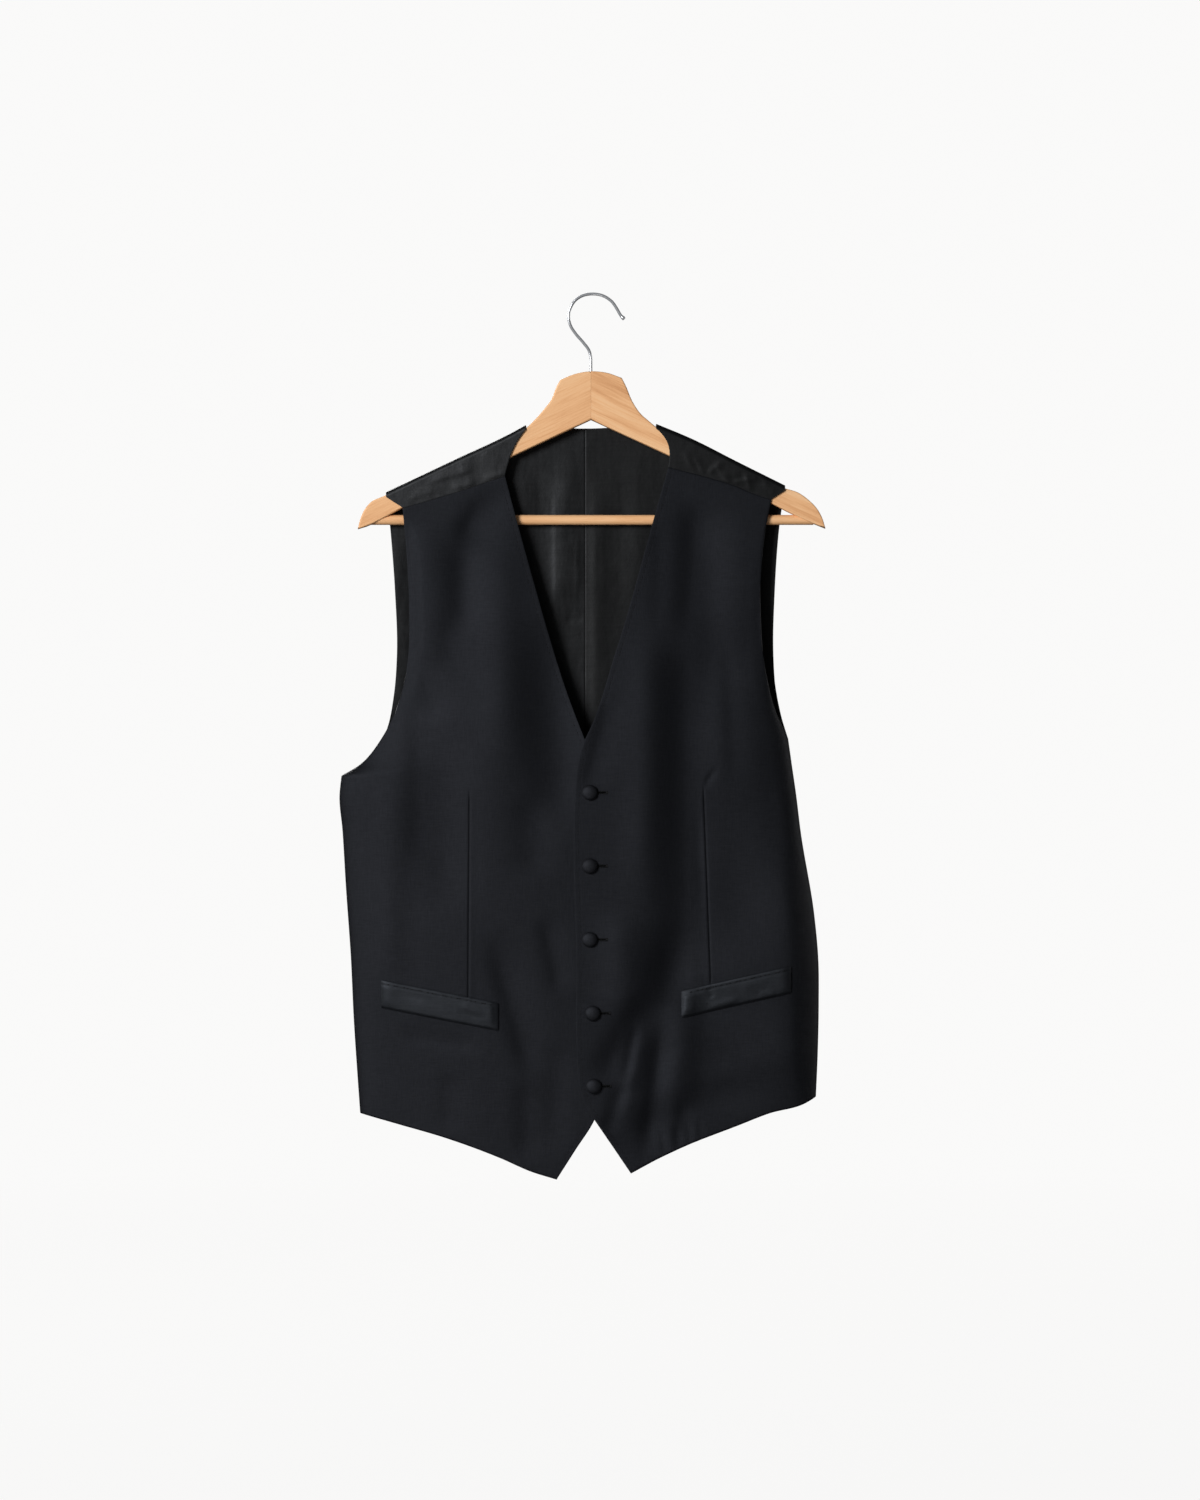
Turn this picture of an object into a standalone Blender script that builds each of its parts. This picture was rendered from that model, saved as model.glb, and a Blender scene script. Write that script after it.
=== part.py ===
"""A suit waistcoat buttoned with five buttons, hung on a flat wooden hanger. Metres, +Z up.

The origin is the inside top of the hook's bend, where a rail carries it. The front faces -Y, +X is the wearer's
left, and the hanger stands in the plane y = 0. Tables are in millimetres: x across, drop down from the origin.
"""

from collections import namedtuple
from math import cos, pi, radians, sin

import bmesh
import bpy
import numpy as np
from mathutils import Vector
from mathutils.bvhtree import BVHTree

MM = 0.001

# Driving sizes
WALL = 1.6  # the cloth, with its lining
SEAM_GAP = 0.3
SHOULDER_GAP = 0.4  # along the drop, across the sloping seam
SIDE_EDGE = 0.6  # each panel's middle stops this far from the side seam, where its end lies a little askew
HANGER_THICK = 13.0
HANGER_ROUND = 3.0  # rounding of the wood's long edges
CLOTH_OFF_WOOD = 0.6
WIRE = 2.8
BAR_ROUND = 9.5  # diameter of the dowel
BAR_DROP = 214.1
BAR_HALF = 212.0
DRILL_ROOM = 0.3  # round the dowel and the stem in their holes
STEM_SUNK = 12.0
HALF_CUT = 300.0  # side of the cube that takes away the other half at the mitre
LAP = 2.9  # how far the top layer stands before the under layer at the buttons
BUTTON_RADIUS = 7.3
WELT_WALL = 1.8

HALF_WOOD = HANGER_THICK / 2
ARM_Y = HALF_WOOD + CLOTH_OFF_WOOD + WALL / 2  # the middle of cloth that lies on the wood
WRAP_RADIUS = HANGER_ROUND + CLOTH_OFF_WOOD + WALL / 2
CROWN_DROP = 72.7

Edge = namedtuple("Edge", "x drop y")  # a point of a panel's cut edge
Section = namedtuple("Section", "drop turn bulge")  # depth past the side's turn, and the fullness before it
Fold = namedtuple("Fold", "x0 drop0 x1 drop1 width depth")  # a soft trough from one point to another
Panel = namedtuple("Panel", "top bottom outer inner sections turn_share corner")
Place = namedtuple("Place", "x drop")
Welt = namedtuple("Welt", "outer inner height")  # top at its outer end, top at its inner end

# The wearer's right front, the under layer. A shoulder's and a hem's depths come from the sections.
RIGHT_SHOULDER = (Edge(-179.3, 203.0, 0), Edge(-130.7, 188.7, 0), Edge(-82.0, 172.4, 0))
RIGHT_HEM = (
    Edge(-219.4, 779.3, 0),
    Edge(-180.2, 789.9, 0),
    Edge(-138.3, 801.6, 0),
    Edge(-84.9, 821.2, 0),
    Edge(-57.2, 833.8, 0),
    Edge(-32.7, 841.4, 0),
)
RIGHT_ARMHOLE = (
    Edge(-179.3, 203.0, -ARM_Y),
    Edge(-175.7, 241.4, -9.5),
    Edge(-173.0, 300.0, -12.5),
    Edge(-174.3, 350.0, -14.5),
    Edge(-181.8, 385.8, -14.5),
    Edge(-197.6, 421.0, -11.5),
    Edge(-218.5, 447.0, -6.0),
    Edge(-237.3, 458.5, -SIDE_EDGE),
)
RIGHT_SIDE = (
    Edge(-237.3, 458.5, -SIDE_EDGE),
    Edge(-239.1, 476.4, -SIDE_EDGE),
    Edge(-236.3, 510.0, -SIDE_EDGE),
    Edge(-233.0, 564.0, -SIDE_EDGE),
    Edge(-228.3, 631.0, -SIDE_EDGE),
    Edge(-225.5, 690.0, -SIDE_EDGE),
    Edge(-221.8, 746.0, -SIDE_EDGE),
    Edge(-219.4, 779.3, -SIDE_EDGE),
)
RIGHT_EDGE = (
    Edge(-82.0, 172.4, -ARM_Y),
    Edge(-72.5, 208.4, -10.5),
    Edge(-52.6, 280.9, -17.5),
    Edge(-39.5, 326.6, -21.5),
    Edge(-21.9, 381.5, -25.5),
    Edge(-5.5, 424.2, -27.5),
    Edge(6.0, 452.0, -28.0),
    Edge(12.5, 484.0, -28.0),
    Edge(15.5, 530.0, -28.0),
    Edge(15.5, 700.0, -26.5),
    Edge(13.5, 750.0, -25.0),
    Edge(3.4, 784.4, -24.0),
    Edge(-14.6, 813.0, -23.0),
    Edge(-32.7, 841.4, -22.0),
)

# The wearer's left front, the top layer with the buttonholes
LEFT_SHOULDER = (
    Edge(171.7, 195.0, 0),
    Edge(153.5, 188.6, 0),
    Edge(138.0, 181.8, 0),
    Edge(115.9, 175.0, 0),
    Edge(73.8, 164.0, 0),
)
LEFT_HEM = (
    Edge(214.6, 763.4, 0),
    Edge(205.5, 769.0, 0),
    Edge(169.1, 778.7, 0),
    Edge(138.3, 790.4, 0),
    Edge(93.5, 807.3, 0),
    Edge(62.0, 822.0, 0),
    Edge(38.0, 835.6, 0),
)
LEFT_ARMHOLE = (
    Edge(171.7, 195.0, -ARM_Y),
    Edge(165.8, 223.6, -9.5),
    Edge(161.0, 280.9, -13.5),
    Edge(161.4, 315.8, -16.0),
    Edge(163.6, 344.3, -17.0),
    Edge(167.9, 370.5, -16.0),
    Edge(174.2, 394.0, -11.5),
    Edge(187.3, 422.5, -SIDE_EDGE),
)
LEFT_SIDE = (
    Edge(187.3, 422.5, -SIDE_EDGE),
    Edge(190.6, 446.0, -SIDE_EDGE),
    Edge(195.0, 476.4, -SIDE_EDGE),
    Edge(199.1, 510.0, -SIDE_EDGE),
    Edge(212.4, 592.0, -SIDE_EDGE),
    Edge(216.0, 631.0, -SIDE_EDGE),
    Edge(216.5, 676.0, -SIDE_EDGE),
    Edge(215.5, 724.0, -SIDE_EDGE),
    Edge(213.8, 763.4, -SIDE_EDGE),
)
LEFT_EDGE = (
    Edge(73.8, 164.0, -ARM_Y),
    Edge(60.7, 210.3, -10.5),
    Edge(44.3, 269.8, -16.5),
    Edge(33.3, 309.2, -20.5),
    Edge(22.3, 344.3, -24.0),
    Edge(2.7, 405.6, -27.2 - LAP),
    Edge(-8.0, 430.0, -27.6 - LAP),
    Edge(-13.0, 450.6, -28.0 - LAP),
    Edge(-15.0, 475.0, -28.0 - LAP),
    Edge(-13.7, 637.0, -27.5 - LAP),
    Edge(-13.4, 718.0, -26.0 - LAP),
    Edge(-11.0, 752.0, -25.0 - LAP),
    Edge(-4.5, 772.0, -24.3 - LAP),
    Edge(3.4, 784.4, -24.0 - LAP),
    Edge(20.7, 810.0, -23.0),
    Edge(38.0, 835.6, -22.0),
)

RIGHT_TURN, LEFT_TURN, BACK_TURN = 0.05, 0.14, 0.07  # shares of a panel's width that turn in to the side
UNDERARM = 0.41  # share of a panel's rows above the underarm
FOLDS_BELOW, FOLDS_INSIDE = 0.06, 0.06  # shares of a panel over which folds fade to its shoulder and its side
RIGHT_SECTIONS = (
    Section(203.0, -ARM_Y, 0.0),
    Section(250.0, -10.0, 1.0),
    Section(350.0, -14.5, 3.0),
    Section(420.0, -13.0, 4.0),
    Section(458.5, -10.5, 4.5),
    Section(600.0, -10.0, 4.0),
    Section(700.0, -10.0, 3.0),
    Section(779.3, -9.0, 1.0),
)
LEFT_SECTIONS = (
    Section(195.0, -ARM_Y, 0.0),
    Section(250.0, -11.5, 1.0),
    Section(344.0, -17.0, 2.0),
    Section(394.0, -18.0, 3.0),
    Section(422.5, -18.0, 4.0),
    Section(520.0, -18.0, 4.5),
    Section(640.0, -17.0, 4.0),
    Section(763.4, -15.0, 1.5),
)

# The two halves of the back, in satin. Above the arms they fold forward down to the shoulder seams.
BACK_CENTRE_X = -5.6
BACK_NECK_DROP = 126.4
BACK_HEM_DROP = 765.0
HEM_HOLLOW = 1.5
BACK_DEPTH = 8.4
RIGHT_FOLD = (Place(-195.1, 187.4), Place(-130.0, 156.6), Place(-75.0, 130.6), Place(-62.0, 123.4))
LEFT_FOLD = (Place(184.8, 181.1), Place(140.0, 158.8), Place(94.4, 135.9), Place(62.0, 122.4))
RIGHT_NECK_BOW, LEFT_NECK_BOW = -3.5, 6.5  # swing of the neck edge between the fold and the front seam
BACK_RIGHT_ARMHOLE = (
    Edge(-194.5, 194.0, ARM_Y),
    Edge(-191.0, 230.0, BACK_DEPTH),
    Edge(-187.3, 280.9, BACK_DEPTH),
    Edge(-185.5, 345.0, BACK_DEPTH),
    Edge(-188.4, 381.5, BACK_DEPTH),
    Edge(-197.6, 421.0, 7.0),
    Edge(-216.5, 446.5, 4.0),
    Edge(-237.3, 458.5, SIDE_EDGE),
)
BACK_LEFT_ARMHOLE = (
    Edge(184.2, 188.0, ARM_Y),
    Edge(180.0, 219.4, BACK_DEPTH),
    Edge(175.2, 289.4, BACK_DEPTH),
    Edge(174.1, 335.0, BACK_DEPTH),
    Edge(176.4, 375.0, 8.0),
    Edge(181.3, 402.0, 5.0),
    Edge(187.3, 422.5, SIDE_EDGE),
)
BACK_SECTIONS = (Section(180.0, BACK_DEPTH, 0.0), Section(780.0, BACK_DEPTH, 0.0))

FRONT_FOLDS = (
    Fold(-98.0, 190.0, -131.0, 241.0, 14.0, 2.6),
    Fold(-131.0, 241.0, -131.0, 350.0, 16.0, 3.0),
    Fold(-55.0, 310.0, -55.0, 480.0, 17.0, 2.2),
    Fold(-171.0, 400.0, -171.0, 520.0, 15.0, 1.8),
    Fold(-111.0, 617.0, -70.0, 720.0, 13.0, 2.6),
    Fold(98.0, 205.0, 94.0, 328.0, 18.0, 2.8),
    Fold(94.0, 328.0, 77.0, 538.0, 20.0, 4.2),
    Fold(77.0, 538.0, 62.0, 672.0, 16.0, 3.6),
    Fold(62.0, 672.0, 12.0, 734.0, 10.0, 2.4),
    Fold(69.0, 684.0, 47.0, 800.0, 9.0, 2.8),
    Fold(125.0, 345.0, 134.0, 470.0, 14.0, 1.6),
)
BACK_FOLDS = (
    Fold(-120.0, 250.0, -95.0, 430.0, 20.0, -2.4),
    Fold(100.0, 230.0, 80.0, 400.0, 18.0, -2.8),
    Fold(-60.0, 480.0, -85.0, 690.0, 18.0, -2.2),
    Fold(60.0, 430.0, 95.0, 640.0, 20.0, -2.8),
    Fold(-165.0, 470.0, -150.0, 620.0, 16.0, -2.0),
    Fold(150.0, 560.0, 140.0, 720.0, 14.0, -2.2),
)

BUTTONS = (Place(-1.0, 473.9), Place(-1.0, 543.5), Place(-1.0, 613.2), Place(1.8, 683.1), Place(2.7, 752.5))
# Half of a button's section, top to base: share of its radius, and height
BUTTON_PROFILE = ((0, 4.3), (0.38, 4.1), (0.71, 3.5), (0.93, 2.5), (1, 1.4), (0.95, 0.5), (0.77, 0), (0, 0))
BUTTON_STEPS = 18
RIGHT_WELT = Welt(Place(-199.2, 652.3), Place(-88.0, 673.6), 26.2)
LEFT_WELT = Welt(Place(189.6, 638.6), Place(86.0, 662.4), 25.2)

UNDER_FOLD = 1.1 * (WALL + CLOTH_OFF_WOOD + 0.7)  # from the cloth's fold down to the sloping arm
# The hanger's wooden outline, from the crown to each tip and back below the arm
WOOD_CROWN = (
    Place(-29.2, 80.8),
    Place(-15.3, 75.2),
    Place(0.0, CROWN_DROP),
    Place(15.3, 74.1),
    Place(29.4, 79.0),
)
WOOD_RIGHT_TOP = (
    Place(-29.2, 80.8),
    Place(-32.2, 85.9),
    Place(-38.0, 99.9),
    Place(-45.0, 109.1),
    Place(-54.0, 119.3),
    Place(-63.0, 127.6),
    Place(-75.0, 130.6 + UNDER_FOLD),
    Place(-130.0, 156.6 + UNDER_FOLD),
    Place(-192.0, 185.9 + UNDER_FOLD),
    Place(-200.5, 192.8),
    Place(-208.0, 196.0),
    Place(-214.6, 202.7),
    Place(-219.4, 212.2),
    Place(-222.2, 222.8),
)
WOOD_LEFT_TOP = (
    Place(29.4, 79.0),
    Place(32.9, 85.9),
    Place(39.9, 102.1),
    Place(48.0, 113.8),
    Place(55.0, 119.9),
    Place(63.0, 126.5),
    Place(94.4, 135.9 + UNDER_FOLD),
    Place(140.0, 158.8 + UNDER_FOLD),
    Place(184.0, 180.7 + UNDER_FOLD),
    Place(197.0, 188.0),
    Place(207.7, 195.5),
    Place(215.1, 203.1),
    Place(220.0, 211.6),
    Place(223.4, 222.3),
)
WOOD_LEFT_BELOW = (
    Place(223.4, 222.3),
    Place(207.7, 215.9),
    Place(191.9, 208.6),
    Place(172.3, 198.8),
    Place(75.2, 153.3),
    Place(0.0, 118.7),
)
WOOD_RIGHT_BELOW = (
    Place(0.0, 118.7),
    Place(-76.3, 154.4),
    Place(-181.3, 203.7),
    Place(-200.0, 213.8),
    Place(-211.5, 219.4),
    Place(-222.2, 222.8),
)
HOOK_PATH = (
    Place(0.0, CROWN_DROP + STEM_SUNK),
    Place(0.0, 66.0),
    Place(-0.2, 58.9),
    Place(-1.9, 52.5),
    Place(-7.1, 45.2),
    Place(-14.7, 36.4),
    Place(-19.6, 28.6),
    Place(-21.4, 20.3),
    Place(-19.7, 12.0),
    Place(-15.3, 5.0),
    Place(-8.5, 0.4),
    Place(0.5, -WIRE / 2),
    Place(10.9, 0.1),
    Place(19.6, 5.6),
    Place(25.0, 13.2),
    Place(28.4, 19.0),
    Place(31.8, 22.6),
)

TURN_COLUMNS = 3
WELT_COLUMNS, WELT_ROWS = 12, 3
FRONT_COLUMNS, FRONT_ROWS = 17, 30
BACK_NECK_COLUMNS, BACK_SHOULDER_COLUMNS, BACK_ROWS = 4, 9, 26
FLAP_ROWS = 4
WRAP_STEPS = 3
HOOK_POINTS = 44

CLOTH_WOOL = ("wool", (0.016, 0.018, 0.022), 0.85, 0.0)
CLOTH_SATIN = ("satin", (0.014, 0.016, 0.018), 0.45, 0.0)
BEECH = ("beech", (0.73, 0.42, 0.20), 0.5, 0.0)
CHROME = ("chrome", (0.75, 0.75, 0.76), 0.15, 1.0)


def material(name, colour, roughness, metallic):
    found = bpy.data.materials.get(name)
    if found:
        return found
    made = bpy.data.materials.new(name)
    made.use_nodes = True
    shader = made.node_tree.nodes["Principled BSDF"]
    shader.inputs["Base Color"].default_value = (*colour, 1)
    shader.inputs["Roughness"].default_value = roughness
    shader.inputs["Metallic"].default_value = metallic
    return made


def new_collection(name):
    made = bpy.data.collections.new(name)
    bpy.context.scene.collection.children.link(made)
    return made


def add(name, data, finish, collection):
    made = bpy.data.objects.new(name, data)
    data.materials.append(material(*finish))
    collection.objects.link(made)
    return made


def curve_at(rows, shares):
    """Points of the smooth curve through the rows, at these shares of its length."""
    points = np.array(rows, float)
    steps = np.linalg.norm(np.diff(points[:, :2], axis=0), axis=1)
    along = np.concatenate([[0], np.cumsum(steps)]) / steps.sum()
    slopes = np.gradient(points, along, axis=0)
    i = np.clip(np.searchsorted(along, shares) - 1, 0, len(along) - 2)
    span = (along[i + 1] - along[i])[:, None]
    t = (np.asarray(shares)[:, None] - along[i][:, None]) / span
    return (
        (2 * t**3 - 3 * t**2 + 1) * points[i]
        + (t**3 - 2 * t**2 + t) * span * slopes[i]
        + (3 * t**2 - 2 * t**3) * points[i + 1]
        + (t**3 - t**2) * span * slopes[i + 1]
    )


def outer_at(panel, v):
    """The outer edge, armhole then side, whose corner is the underarm."""
    armhole, side = panel.outer
    above = curve_at(armhole, np.clip(v / panel.corner, 0, 1))
    below = curve_at(side, np.clip((v - panel.corner) / (1 - panel.corner), 0, 1))
    return np.where((v <= panel.corner)[:, None], above, below)


def fold_depth(folds, x, drop):
    """How far the deepest fold pushes the cloth in at each point."""
    deepest = np.zeros_like(x)
    for fold in folds:
        run = np.array([fold.x1 - fold.x0, fold.drop1 - fold.drop0])
        t = np.clip(((x - fold.x0) * run[0] + (drop - fold.drop0) * run[1]) / (run @ run), 0, 1)
        away = np.hypot(x - fold.x0 - t * run[0], drop - fold.drop0 - t * run[1])
        depth = fold.depth * np.exp(-((away / fold.width) ** 2))
        deepest = np.where(abs(depth) > abs(deepest), depth, deepest)
    return deepest


def on_panel(panel, folds, s, v):
    """Points of a panel's middle surface at s, 0 at the outer edge to 1 at the inner, and v, 0 at the top."""
    outer, inner = outer_at(panel, v), curve_at(panel.inner, v)
    top, bottom = curve_at(panel.top, s), curve_at(panel.bottom, s)
    top_bow = top[:, 1] - (1 - s) * panel.top[0].drop - s * panel.top[-1].drop
    bottom_bow = bottom[:, 1] - (1 - s) * panel.bottom[0].drop - s * panel.bottom[-1].drop
    x = (1 - s) * outer[:, 0] + s * inner[:, 0]
    drop = (1 - s) * outer[:, 1] + s * inner[:, 1] + (1 - v) * top_bow + v * bottom_bow
    levels = np.array(panel.sections)
    turn = np.interp(outer[:, 1], levels[:, 0], levels[:, 1])
    bulge = np.interp(outer[:, 1], levels[:, 0], levels[:, 2])
    turned = np.sqrt(1 - (1 - np.clip(s / panel.turn_share, 0, 1)) ** 2)
    fullness = 27 / 4 * s * (1 - s) ** 2  # 1 at its peak, a third of the way across
    y = outer[:, 2] + (turn - outer[:, 2]) * turned + (inner[:, 2] - turn) * s * (2 - s) - bulge * fullness
    ease = np.clip(np.minimum(v / FOLDS_BELOW, s / FOLDS_INSIDE), 0, 1)
    return np.stack([x, y + ease * fold_depth(folds, x, drop), drop], axis=1)


def in_metres(point):
    return Vector((point[0] * MM, point[1] * MM, -point[2] * MM))


def cloth(name, grid, wall, finish, collection):
    """A panel from a grid of middle-surface points, row by row, thickened to its wall."""
    mesh = bmesh.new()
    verts = {
        (r, c): mesh.verts.new(in_metres(point))
        for r, row in enumerate(grid)
        for c, point in enumerate(row)
        if point is not None
    }
    for r in range(len(grid) - 1):
        for c in range(len(grid[0]) - 1):
            corners = [verts.get(key) for key in ((r, c), (r + 1, c), (r + 1, c + 1), (r, c + 1))]
            if None not in corners:
                mesh.faces.new(corners)
    data = bpy.data.meshes.new(name)
    mesh.to_mesh(data)
    mesh.free()
    data.shade_smooth()
    made = add(name, data, finish, collection)
    thicken = made.modifiers.new("wall", "SOLIDIFY")
    thicken.thickness = wall * MM
    thicken.offset = 0
    thicken.use_even_offset = True
    thicken.use_quality_normals = True
    return made


def front(name, panel, collection):
    """A front. Returns its middle surface, for what lies on it."""
    s = shares_across(panel.turn_share, 1, FRONT_COLUMNS)
    grid = [on_panel(panel, FRONT_FOLDS, s, np.full(len(s), v)) for v in np.linspace(0, 1, FRONT_ROWS + 1)]
    data = cloth(name, grid, WALL, CLOTH_WOOL, collection).data
    return BVHTree.FromPolygons([v.co for v in data.vertices], [face.vertices for face in data.polygons])


def moved_out(surface, x, drop, distance):
    """The surface's point at this x and drop, moved out of its front, in millimetres, and its normal."""
    place, normal, *_ = surface.ray_cast(Vector((x * MM, -1, -drop * MM)), Vector((0, 1, 0)))
    out = -normal if normal.y > 0 else normal
    return (x, place.y / MM + distance / out.y, drop), out


def back_top(fold):
    """The top edge of a half back's flat part: below the fold, then along the neck to the centre."""
    centre = BACK_CENTRE_X + (SEAM_GAP / 2 if fold[0].x > 0 else -SEAM_GAP / 2)
    low = WRAP_RADIUS + WALL / 2
    return (*(Edge(row.x, row.drop + low, ARM_Y) for row in fold), Edge(centre, BACK_NECK_DROP, ARM_Y))


def back_panel(fold, armhole, side):
    top = back_top(fold)
    hem_side, centre = side[-1], top[-1].x
    mid_drop = (hem_side.drop + BACK_HEM_DROP) / 2 - HEM_HOLLOW
    bottom = (hem_side, Edge((hem_side.x + centre) / 2, mid_drop, 0), Edge(centre, BACK_HEM_DROP, 0))
    inner = (
        Edge(centre, BACK_NECK_DROP, ARM_Y),
        Edge(centre, 300.0, BACK_DEPTH),
        Edge(centre, BACK_HEM_DROP, BACK_DEPTH),
    )
    return Panel(top, bottom, (armhole, side), inner, BACK_SECTIONS, BACK_TURN, UNDERARM)


def shares_across(turn_share, until, columns):
    """Column places from the side inwards: by equal angles round the side's turn, then evenly."""
    turn = turn_share * (1 - np.cos(np.linspace(0, pi / 2, TURN_COLUMNS + 1)))
    return np.concatenate([turn, np.linspace(turn_share, until, columns - TURN_COLUMNS + 1)[1:]])


def back(name, fold, seam, bow, armhole, side, collection):
    """A half back. Its shoulder columns run on over the wood and down to the front seam."""
    panel = back_panel(fold, armhole, side)
    top_length = np.cumsum([np.hypot(b.x - a.x, b.drop - a.drop) for a, b in zip(panel.top, panel.top[1:])])
    at_neck = top_length[-2] / top_length[-1]
    shoulder = shares_across(panel.turn_share, at_neck, BACK_SHOULDER_COLUMNS)
    s = np.concatenate([shoulder, np.linspace(at_neck, 1, BACK_NECK_COLUMNS + 1)[1:]])
    flat = [on_panel(panel, BACK_FOLDS, s, np.full(len(s), v)) for v in np.linspace(0, 1, BACK_ROWS + 1)]
    wrapped = []
    for column, share in enumerate(s):
        if column > BACK_SHOULDER_COLUMNS:
            wrapped.append([None] * (2 * WRAP_STEPS + 1 + FLAP_ROWS))
            continue
        t = np.array([share / at_neck])
        crease, end = curve_at(fold, t)[0], curve_at(seam, t)[0]
        wrapped.append(wrap(crease, end, bow * t[0]))
    over = [[wrapped[c][r] for c in range(len(s))] for r in range(len(wrapped[0]))]
    return cloth(name, over[::-1] + [list(row) for row in flat], WALL, CLOTH_SATIN, collection)


def wrap(crease, end, bow):
    """One column over the wood: round its back edge, across, round its front edge and down to the seam."""
    turn_y = ARM_Y - WRAP_RADIUS
    top = crease[1] + WALL / 2
    path = []
    for k in range(1, WRAP_STEPS + 1):
        angle = k * pi / 2 / WRAP_STEPS
        path.append((turn_y + WRAP_RADIUS * cos(angle), top + WRAP_RADIUS * (1 - sin(angle))))
    path += [(-y, drop) for y, drop in reversed(path)]
    path.append((-ARM_Y, top + WRAP_RADIUS))
    foot = end[1] - SHOULDER_GAP
    for k in range(1, FLAP_ROWS + 1):
        path.append((-ARM_Y, top + WRAP_RADIUS + (foot - top - WRAP_RADIUS) * k / FLAP_ROWS))
    points = []
    for y, drop in path:
        share = np.clip((drop - top - WRAP_RADIUS) / (foot - top - WRAP_RADIUS), 0, 1) if y < 0 else 0
        x = crease[0] + (end[0] - crease[0]) * share + bow * sin(pi * share**0.8)
        points.append((x, y, drop))
    return points


def welt(name, surface, shape, collection):
    """A pocket's welt: the front's own points inside its outline, moved out."""
    off = WALL / 2 + 2 * SEAM_GAP + WELT_WALL / 2
    grid = []
    for r in range(WELT_ROWS + 1):
        row = []
        for t in np.linspace(0, 1, WELT_COLUMNS + 1):
            x = shape.outer.x + t * (shape.inner.x - shape.outer.x)
            drop = shape.outer.drop + t * (shape.inner.drop - shape.outer.drop) + shape.height * r / WELT_ROWS
            row.append(moved_out(surface, x, drop, off)[0])
        grid.append(row)
    return cloth(name, grid, WELT_WALL, CLOTH_SATIN, collection)


def button(name, surface, place, collection):
    """A cloth-covered dome, turned about the line it stands on."""
    mesh = bmesh.new()
    points = [mesh.verts.new((share * BUTTON_RADIUS * MM, 0, height * MM)) for share, height in BUTTON_PROFILE]
    for one, other in zip(points, points[1:]):
        mesh.edges.new((one, other))
    data = bpy.data.meshes.new(name)
    mesh.to_mesh(data)
    mesh.free()
    made = add(name, data, CLOTH_SATIN, collection)
    turned = made.modifiers.new("turned", "SCREW")
    turned.steps = turned.render_steps = BUTTON_STEPS
    turned.use_merge_vertices = True
    turned.merge_threshold = 1e-5
    point, normal = moved_out(surface, place.x, place.drop, WALL / 2 + 2 * SEAM_GAP)
    made.location = in_metres(point)
    made.rotation_euler = normal.to_track_quat("Z", "Y").to_euler()
    return made


def wood_outline():
    """The whole outline: each stretch is smooth, with a corner where it meets the next."""
    stretches = (
        (WOOD_CROWN, 12),
        (WOOD_LEFT_TOP, 30),
        (WOOD_LEFT_BELOW, 8),
        (WOOD_RIGHT_BELOW, 8),
        (WOOD_RIGHT_TOP[::-1], 30),
    )
    return [
        point for rows, count in stretches for point in curve_at(rows, np.linspace(0, 1, count, endpoint=False))
    ]


def move_to(collection, made, name):
    made.name = name
    for old in made.users_collection:
        old.objects.unlink(made)
    collection.objects.link(made)
    return made


def cutter(made, collection, name):
    made.hide_render = True
    made.display_type = "WIRE"
    return move_to(collection, made, name)


def dowel(radius, half_length):
    bpy.ops.mesh.primitive_cylinder_add(
        vertices=24,
        radius=radius * MM,
        depth=2 * half_length * MM,
        location=(0, 0, -BAR_DROP * MM),
        rotation=(0, radians(90), 0),
    )
    return bpy.context.object


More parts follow.
